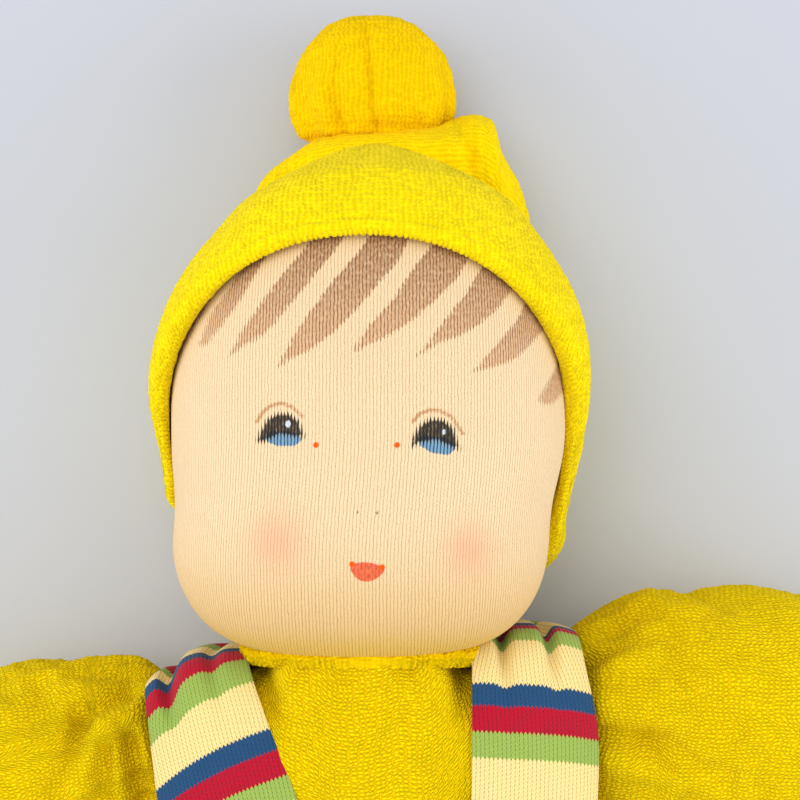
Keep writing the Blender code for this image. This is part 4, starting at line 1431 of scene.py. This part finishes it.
# %% [markdown]
# The neck edge is a narrow roll of terry, drawn up under the chin by its thread. It is a ring
# whose thickness waves with the gathers and bulges at each of its loops.
# %% The neck edge
neck_roll_radius = 0.0022
neck_roll_half_width = 0.0270
neck_roll_half_depth = 0.0243
neck_roll_power = 3.4
neck_roll_y = 0.0357
neck_roll_z = 0.0290
neck_loops = 130
neck_loop_height = 0.0007
neck_roll_wave = 0.0002
neck_roll_jitter = 0.03 * mm


def neck_roll_form(u, v):
    """A closed ring round the neck, whose section is a small tube of loops."""
    turn = 2 * math.pi * (u - 0.5)
    tube = 2 * math.pi * v
    wave = np.sin(turn * 23 + 1.1 * np.sin(turn * 4))
    size = neck_roll_radius * (1 + 0.08 * wave)
    shift = np.sin(turn * 17 + 2) * 1.5
    round_it = np.abs(np.sin(tube * 6 + 2 * np.sin(turn * 31)))
    beat = np.abs(np.sin(turn * neck_loops / 2 + shift)) * round_it
    size = size + neck_loop_height * (beat**0.7 - 0.4)
    out = np.cos(tube) * size
    sine, cosine = rounded(turn, neck_roll_power)
    x = (neck_roll_half_width + out) * sine
    z = neck_roll_z + (neck_roll_half_depth + out) * cosine
    y = neck_roll_y + np.sin(tube) * size + neck_roll_wave * wave
    return roughen(np.stack([x, y, z], axis=1), neck_roll_jitter)


neck_roll, _ = cut_cloth("neck_edge", 900, 60, neck_roll_form)
finish_piece(neck_roll, edge_terry, "yellow_terry", "torso")
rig.padded(neck_roll, fill=0.5)

# %% [markdown]
# A sleeve, a hand or a leg is a tube along its own line. Its line starts at the joint, and its
# half-widths, half-depths and heights are keyed to the reach from there. Both ends are drawn in.
# %% Limbs
arm_angles = {"left": math.radians(-1), "right": math.radians(-14)}
sides = {"left": 1, "right": -1}


def arm_line(side, joint):
    """Where an arm's line starts, at one of its joints, and its angle to +X."""
    angle = arm_angles[side] if side == "left" else math.pi - arm_angles[side]
    return np.array(hinge_at[side + joint]), angle


def limb_form(root, angle, wide_keys, deep_keys, height_keys, ends, folds=None, power=2.2):
    """The form of a limb along a level line that leaves its root at an angle to +X."""
    along = np.array([math.cos(angle), math.sin(angle), 0])
    beside = np.array([-math.sin(angle), math.cos(angle), 0])
    start = root * (1, 1, 0)
    first = wide_keys[0][0]
    length = wide_keys[-1][0] - first

    def form(u, v):
        share = 0.35 * (1 - np.cos(math.pi * v)) / 2 + 0.65 * v
        reach = first + length * share
        turn = 2 * math.pi * (u - 0.5)
        sine, cosine = rounded(turn, power)
        close = end_round(share, *ends, 2.0)
        wide = smooth_curve(wide_keys, reach) * close
        deep = smooth_curve(deep_keys, reach) * close
        centre = start + reach[:, None] * along
        centre[:, 2] = smooth_curve(height_keys, reach)
        points = centre + (sine * wide)[:, None] * beside
        points[:, 2] += cosine * deep
        if folds is not None:
            points += unit(points - centre) * folds(points, reach, turn)[:, None]
        return keep_off_floor(points)

    return form


# %% [markdown]
# The sleeves are full and soft. Each is caught under a strap at the shoulder, where its cloth
# puckers, and it is gathered again by the thread at the wrist.
# %% Sleeves
sleeve_wide_keys = {
    "left": ((-0.016, 0.016), (-0.006, 0.0212), (0.006, 0.0273), (0.018, 0.0285), (0.030, 0.0282),
             (0.042, 0.0272), (0.054, 0.0222), (0.062, 0.0140), (0.0680, 0.0110), (0.0700, 0.0105)),
    "right": ((-0.016, 0.015), (-0.006, 0.0180), (0.006, 0.0206), (0.018, 0.0222), (0.030, 0.0216),
              (0.042, 0.0208), (0.054, 0.0180), (0.062, 0.0135), (0.0680, 0.0110), (0.0700, 0.0105)),
}
sleeve_deep_keys = (
    (-0.016, 0.0120), (-0.006, 0.0185), (0.006, 0.0222), (0.018, 0.0245), (0.030, 0.0255),
    (0.042, 0.0245), (0.054, 0.0185), (0.062, 0.0128), (0.0680, 0.0110), (0.0700, 0.0105),
)
sleeve_height_keys = (
    (-0.016, 0.0240), (-0.006, 0.0240), (0.006, 0.0248), (0.018, 0.0252), (0.030, 0.0256),
    (0.042, 0.0246), (0.054, 0.0188), (0.062, 0.0130), (0.0680, 0.0123), (0.0700, 0.0123),
)
sleeve_folds = {
    "left": (
        ((590, 666), (626, 630), 0.0030, -0.0042),
        ((604, 680), (650, 655), 0.0034, 0.0022),
        ((598, 738), (655, 744), 0.0028, -0.0036),
        ((650, 742), (722, 776), 0.0034, -0.0022),
        ((606, 716), (668, 718), 0.0044, 0.0026),
        ((610, 768), (672, 782), 0.0040, 0.0020),
    ),
    "right": (
        ((144, 708), (100, 728), 0.0030, 0.0036),
        ((100, 728), (74, 800), 0.0032, 0.0030),
        ((120, 696), (80, 724), 0.0030, -0.0032),
        ((80, 724), (52, 792), 0.0034, -0.0028),
        ((126, 742), (140, 800), 0.0018, -0.0034),
        ((140, 738), (154, 800), 0.0018, 0.0024),
        ((114, 742), (120, 800), 0.0018, 0.0020),
        ((104, 752), (102, 800), 0.0018, -0.0026),
    ),
}
sleeve_top_z = 0.048
sleeve_front_z = 0.024
wrist_gather = 0.0009
wrist_gather_reach = 0.0665
wrist_gather_length = 0.009
root_gather = 0.0007
root_gather_reach = -0.002
root_gather_length = 0.010
sleeve_wave = 0.00045
sleeve_free_reach = (0.002, 0.010)
sleeve_held_reach = (0.056, 0.063)
sleeve_settling = 0.0022
wave_phases = {"left": 11, "right": 17}


def sleeve_gathers(side):
    """The folds of a sleeve: those that show from above, and the gathers at both of its ends."""
    phase = wave_phases[side]

    def folds(points, reach, turn):
        lift = np.zeros(len(points))
        for start, end, width, height in sleeve_folds[side]:
            line = (from_photo(start, sleeve_top_z), from_photo(end, sleeve_top_z))
            lift += ridge(points, *line, width, height, 0.4)
        lift *= points[:, 2] > sleeve_front_z
        wave = np.sin(turn * 15 + 1.6 * np.sin(turn * 3 + phase))
        near_wrist = np.exp(-(((reach - wrist_gather_reach) / wrist_gather_length) ** 2))
        near_root = np.exp(-(((reach - root_gather_reach) / root_gather_length) ** 2))
        lift += wave * (wrist_gather * near_wrist + root_gather * near_root)
        lift += sleeve_wave * np.sin(turn * 5 + reach * 260 + phase) * (1 - near_wrist)
        return lift

    return folds


def make_sleeve(side):
    """Cut a sleeve, hang it on its arm and let it settle between its two held ends."""
    root, angle = arm_line(side, "_arm_raise")
    keys = (sleeve_wide_keys[side], sleeve_deep_keys, sleeve_height_keys)
    form = limb_form(root, angle, *keys, (0.10, 0.03), sleeve_gathers(side))
    line = np.array([math.cos(angle), math.sin(angle), 0])

    def rough_form(u, v):
        return roughen(form(u, v), terry_jitter)

    def hold(points):
        reach = (points - root) @ line
        return np.clip(1 - step(reach, *sleeve_free_reach) + step(reach, *sleeve_held_reach), 0, 1)

    sleeve, _ = cut_cloth(side + "_sleeve", 200, 130, rough_form)
    replaced = (side + "_arm_cover", side + "_arm_filling")
    finish_piece(sleeve, sleeve_terry, "yellow_terry", side + "_arm", *replaced)
    settle(sleeve, 60, 46, form, hold, sleeve_settling)
    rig.padded(sleeve, fill=0.6)


for side in sides:
    make_sleeve(side)

# %% [markdown]
# A hand is a small bag of tricot, drawn in at the wrist and softly filled.
# %% Hands
hand_wide_keys = (
    (-0.0060, 0.0070), (0.0, 0.0078), (0.0060, 0.0092), (0.0110, 0.0108), (0.0155, 0.0117),
    (0.0195, 0.0108), (0.0230, 0.0090),
)
hand_deep_keys = (
    (-0.0060, 0.0066), (0.0, 0.0076), (0.0060, 0.0082), (0.0110, 0.0090), (0.0155, 0.0093),
    (0.0195, 0.0086), (0.0230, 0.0075),
)
hand_height_keys = ((-0.0060, 0.0123), (0.0, 0.0120), (0.0097, 0.0098), (0.0230, 0.0092))
hand_keys = (hand_wide_keys, hand_deep_keys, hand_height_keys)
for side in sides:
    form = limb_form(*arm_line(side, "_wrist_bend"), *hand_keys, (0.2, 0.42), power=2.0)
    hand, _ = cut_cloth(side + "_mitten", 90, 80, form)
    replaced = (side + "_hand_skin", side + "_hand_filling")
    finish_piece(hand, hand_tricot, "cream_tricot", side + "_hand", *replaced)
    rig.padded(hand, fill=0.8)

# %% [markdown]
# A leg is a terry stocking with its foot turned up. The line of the tube runs down the leg, bends
# at the heel and ends at the toes.
# %% Legs
heel_bend = 0.0170
leg_stretches = (0.0870, 0.0267, 0.0160)
leg_half_keys = (
    (0.0, 0.0175), (0.0224, 0.0173), (0.0336, 0.0192), (0.0515, 0.0182), (0.0717, 0.0160),
    (0.0870, 0.0151), (0.0980, 0.0146), (0.1060, 0.0140), (0.1137, 0.0132), (0.1297, 0.0128),
)
leg_wide_keys = (
    (0.0, 0.0175), (0.0224, 0.0173), (0.0336, 0.0192), (0.0515, 0.0182), (0.0717, 0.0160),
    (0.0870, 0.0152), (0.0980, 0.0150), (0.1060, 0.0153), (0.1137, 0.0156), (0.1297, 0.0150),
)
leg_height_keys = (
    (0.0, 0.0250), (0.0224, 0.0235), (0.0336, 0.0225), (0.0515, 0.0214), (0.0717, 0.0185),
    (0.0870, 0.0155),
)


def leg_form(root):
    """A stocking: straight down the leg, round the heel and up to the toes."""
    total = sum(leg_stretches)
    straight, bend, _ = leg_stretches

    def form(u, v):
        run = total * (0.3 * (1 - np.cos(math.pi * v)) / 2 + 0.7 * v)
        turn = 2 * math.pi * (u - 0.5)
        angle = np.clip((run - straight) / bend, 0, 1) * math.pi / 2
        past = np.clip(run - straight - bend, 0, None)
        down = np.minimum(run, straight) + heel_bend * np.sin(angle)
        height = smooth_curve(leg_height_keys, np.minimum(run, straight))
        height = height + heel_bend * (1 - np.cos(angle)) + past
        half = smooth_curve(leg_half_keys, run)
        wide = smooth_curve(leg_wide_keys, run)
        close = end_round(run / total, 0.13, 0.10, 2.3)
        forward = np.cos(turn) * half * close
        x = root[0] + np.sin(turn) * wide * close
        y = root[1] - down + forward * np.sin(angle)
        z = height + forward * np.cos(angle)
        return roughen(keep_off_floor(np.stack([x, y, z], axis=1)), terry_jitter)

    return form


for side in sides:
    leg, _ = cut_cloth(side + "_stocking", 120, 170, leg_form(hinge_at[side + "_leg_lift"]))
    replaced = (side + "_leg_cover", side + "_leg_filling")
    finish_piece(leg, suit_terry, "yellow_terry", side + "_leg", *replaced)
    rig.padded(leg, fill=0.7)

# %% [markdown]
# The trousers are three more cuts of jersey: a seat that is gathered by its waist, and two legs
# with a turned hem. The cloth runs back inside the hem, so that it has a thickness there. A leg's
# upper end is open, and is sewn down inside the seat.
# %% Trousers
jersey_room = 0.0019
trouser_reach = 0.0830
trouser_tuck = 0.012
trouser_half_keys = (
    (0.0, 0.0212), (0.0224, 0.0218), (0.0336, 0.0222), (0.0515, 0.0210), (0.0717, 0.0180),
    (0.0830, 0.0166),
)
trouser_flare = 0.0012
trouser_flare_reach = (0.05, 0.083)
trouser_wave = 0.0007
trouser_hem_wave = 0.0006
trouser_hem_wave_reach = (0.05, 0.08)
trouser_hem_share = 0.12
trouser_first_row = 0.004
seat_hem_share = 0.10
seat_pucker = 0.0009
seat_sag = 0.0022
seat_drop = 0.0015
seat_first_row = 0.012
waist_y = -0.02645
hem_turn = 0.0012
trouser_top_share = 0.45
waist_share = (torso_top_y - waist_y) / (torso_top_y - torso_bottom_y)


def hem_profile(v, hem_share):
    """How far along the cloth each row lies, and how far it is turned in, at a rolled hem."""
    rolled = np.clip(1 - v / hem_share, 0, 1)
    angle = np.clip(rolled / 0.6, 0, 1) * math.pi
    inward = hem_turn * (1 - np.cos(angle))
    beyond = hem_turn * np.sin(angle) - np.clip((rolled - 0.6) / 0.4, 0, 1) * hem_tuck
    return beyond, inward


def seat_form(u, v):
    """The trousers' seat round the trunk, puckered at the waist and sagging a little below it."""
    turn = 2 * math.pi * (u - 0.5)
    beyond, inward = hem_profile(v, seat_hem_share)
    down = np.clip((v - seat_hem_share) / (1 - seat_hem_share), 0, 1)
    share = waist_share + (1 - waist_share) * (0.5 * down + 0.5 * np.sin(down * math.pi / 2))
    points = torso_point(turn, share)
    wide, deep, z = torso_sizes(share)
    middle = np.stack([np.zeros(len(u)), points[:, 1], z], axis=1)
    out = unit(points - middle)
    pucker = np.sin(turn * 34 + 2 * np.sin(turn * 5)) * np.exp(-down / 0.22) * seat_pucker
    sag = seat_sag * np.sin(math.pi * np.clip(down * 1.1, 0, 1))
    points += out * (jersey_room + pucker + sag - inward)[:, None]
    points[:, 1] += beyond - seat_drop * down
    return keep_off_floor(points)


seat, seat_cut = cut_cloth("seat_cloth", 220, 110, seat_form, (0, seat_first_row), even=True)
finish_piece(seat, jersey, "striped_jersey", "torso", "trouser_seat")
declare_sheet(seat, seat_cut, "gathered", ["trunk_cloth"])


def trouser_form(root):
    """A trouser leg from inside the seat down to its turned hem, open at both ends."""

    def form(u, v):
        turn = 2 * math.pi * (u - 0.5)
        beyond, inward = hem_profile(1 - v, trouser_hem_share)
        down = np.clip(v / (1 - trouser_hem_share), 0, 1)
        reach = (trouser_reach + trouser_tuck) * down - trouser_tuck
        below_top = np.maximum(reach, 0)
        flare = trouser_flare * step(reach, *trouser_flare_reach)
        wave = trouser_wave * np.sin(turn * 6 + reach * 150)
        wave += trouser_hem_wave * np.sin(turn * 11 + 2) * step(reach, *trouser_hem_wave_reach)
        close = np.maximum(start_round(down, 0.28, 2.0), trouser_top_share)
        size = (smooth_curve(trouser_half_keys, below_top) + flare + wave) * close - inward
        x = root[0] + np.sin(turn) * size
        y = root[1] - reach - beyond
        z = smooth_curve(leg_height_keys, below_top) + flare + np.cos(turn) * size
        return keep_off_floor(np.stack([x, y, z], axis=1))

    return form


for side in sides:
    form = trouser_form(hinge_at[side + "_leg_lift"])
    first = (0, trouser_first_row)
    trouser, trouser_cut = cut_cloth(side + "_trouser_cloth", 130, 120, form, first, even=True)
    finish_piece(trouser, jersey, "striped_jersey", side + "_leg", side + "_trouser_leg")
    declare_sheet(trouser, trouser_cut, "gathered", [side + "_stocking"])

# %% [markdown]
# Each strap is a strip of jersey, folded double, that goes over a shoulder from the waist at the
# front to the waist at the back. It is gathered at the shoulder, where its edge stands up in small
# scallops. The band that it makes is half as wide as its cut.
# %% Straps
strap_middle_z = 0.0280
strap_front_depth = 0.0272
strap_path_power = 4.3
strap_thickness = 0.0011
strap_lift = 0.0012
strap_end_share = 0.02
strap_end_length = 0.006
strap_inner_shift_behind = 0.004
strap_outer_shift_behind = 0.009
shoulder_half_width = 0.0590
shoulder_power = 3.2
gather_length = 0.010
scallop_lift = 0.0017
scallop_rise = 0.0032
tuck_depth = 0.0056
tuck_start = 0.016
tuck_end = 0.001
sink_depth = 0.0030
sink_length = 0.006
strap_edges = {
    "left": (
        ((-0.0265, 0.0220), (0.004, 0.0233), (0.030, 0.0236), (0.045, 0.0236)),
        ((-0.0265, 0.0480), (0.004, 0.0520), (0.020, 0.0520), (0.034, 0.0490), (0.045, 0.0470)),
    ),
    "right": (
        ((-0.0265, 0.0125), (0.004, 0.0152), (0.020, 0.0215), (0.037, 0.0279), (0.045, 0.0290)),
        ((-0.0265, 0.0410), (0.004, 0.0469), (0.018, 0.0490), (0.0274, 0.0508), (0.045, 0.0530)),
    ),
}
strap_top_keys = {
    "left": ((-1, 0.0383), (-0.5, 0.0385), (0, 0.0388), (0.5, 0.0387), (1, 0.0378)),
    "right": ((-1, 0.0340), (0, 0.0330), (0.6, 0.0303), (1, 0.0268)),
}
strap_first = {"left": 0.0101, "right": 0.0014}
strap_skew = {"left": -0.09, "right": -0.33}
strap_fold_keys = {
    "left": ((-0.44, 0.12, 1.0), (0.42, 0.11, 1.0)),
    "right": ((-0.30, 0.15, 0.5), (0.54, 0.17, 1.4)),
}


def strap_form(side):
    """A flat tube over the shoulder, gathered at its top and tucked into the waist at both ends."""
    inner_keys, outer_keys = strap_edges[side]

    def form(u, v):
        turn = 2 * math.pi * (u - 0.5)
        close = end_round(v, strap_end_share, strap_end_share, 2.0)
        place, lift = np.array(rounded(turn, 2.6)) * close
        path = math.pi * (v - 0.5)
        top = smooth_curve(strap_top_keys[side], place)
        sine, cosine = rounded(path, strap_path_power)
        low_y = waist_y - strap_end_length
        y = low_y + (top - low_y) * cosine
        behind = step(-sine, 0, 0.6)
        inner = smooth_curve(inner_keys, y) - strap_inner_shift_behind * behind
        outer = smooth_curve(outer_keys, y) - strap_outer_shift_behind * behind
        x = (inner + outer) / 2 + (outer - inner) / 2 * place
        flat = 1 - np.clip(x / shoulder_half_width, 0, 1) ** shoulder_power
        section = flat ** (1 / shoulder_power)
        near_top = np.exp(-(((top - y) / gather_length) ** 2))
        fold = np.zeros(len(u))
        for middle, width, depth in strap_fold_keys[side]:
            fold -= np.exp(-(((place - middle) / width) ** 2)) * depth
        scallop = (0.45 + fold) * near_top
        tuck = tuck_depth * (1 - step(y, waist_y + tuck_end, waist_y + tuck_start))
        tuck += sink_depth * (1 - step(y, waist_y - sink_length, waist_y))
        depth = ((strap_front_depth - strap_room * behind) * section - tuck) * sine
        off = lift * strap_thickness + scallop_lift * scallop + strap_lift * (1 + 0.7 * near_top)
        z = strap_middle_z + depth + np.sign(sine) * off
        y = y + scallop * scallop_rise * cosine + lift * strap_thickness * cosine**3
        return keep_off_floor(np.stack([sides[side] * x, y, z], axis=1))

    return form


for side in sides:
    lay = {"first": (0, strap_first[side]), "datum": 0.5, "even": True, "skew": strap_skew[side]}
    strap, strap_cut = cut_cloth(side + "_strap_cloth", 120, 260, strap_form(side), **lay)
    finish_piece(strap, jersey, "striped_jersey", "torso", side + "_strap")
    width, length = strap_cut["flat"]
    band = {"flat": (width / 2, length), "area": strap_cut["area"] / 2}
    declare_sheet(strap, band, "folded", ["trunk_cloth", "seat_cloth"])

# %% [markdown]
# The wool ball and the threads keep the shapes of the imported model, with their own finishes.
# %% Inner parts
dressed_words = ("core", "thread", "tie")
for name, node in frame["nodes"].items():
    if any(word in name for word in dressed_words):
        kind = "sheep_wool" if "core" in name else "strong_thread"
        node.data.materials.clear()
        node.data.materials.append(inner_finishes[kind])
        print(name, kind)

# %% [markdown]
# The floor is one big face under the doll. It is marked as a stage, so it is not counted among the doll's pieces.
# %% Floor
floor_half_size = 3
floor_low_y = -0.02
floor_high_y = 0.22
floor_mesh = bpy.data.meshes.new("floor")
bm = bmesh.new()
bmesh.ops.create_grid(bm, x_segments=1, y_segments=1, size=floor_half_size)
bm.to_mesh(floor_mesh)
bm.free()
floor = bpy.data.objects.new("floor", floor_mesh)
bpy.context.scene.collection.objects.link(floor)
floor_finish = Finish("floor", 0.9)
floor_y = floor_finish.node("SeparateXYZ", None, {0: floor_finish.own_place()}).named("Y")
# The floor's colour darkens and turns bluer from the feet towards the head: painted shade and cool tint.
floor_shade_share = floor_finish.smooth(floor_y, floor_low_y, floor_high_y)
floor_shade_and_tint = floor_finish.mix(floor_shade_share, (0.605, 0.620, 0.655), (0.530, 0.550, 0.615))
floor_finish.feed(floor_finish.shader.inputs["Base Color"], floor_shade_and_tint)
floor_mesh.materials.append(floor_finish.material)
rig.stage(floor)

# %% [markdown]
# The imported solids' box and the dressed doll's box are written down to be compared.
# %% Sizes and finish
boxes = {"cad": cad_box, "scene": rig.bounds()}
sizes = {name: [list(corner) for corner in box] for name, box in boxes.items()}
print(sizes)
with open("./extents.json", "w") as file:
    json.dump(sizes, file, indent=1)
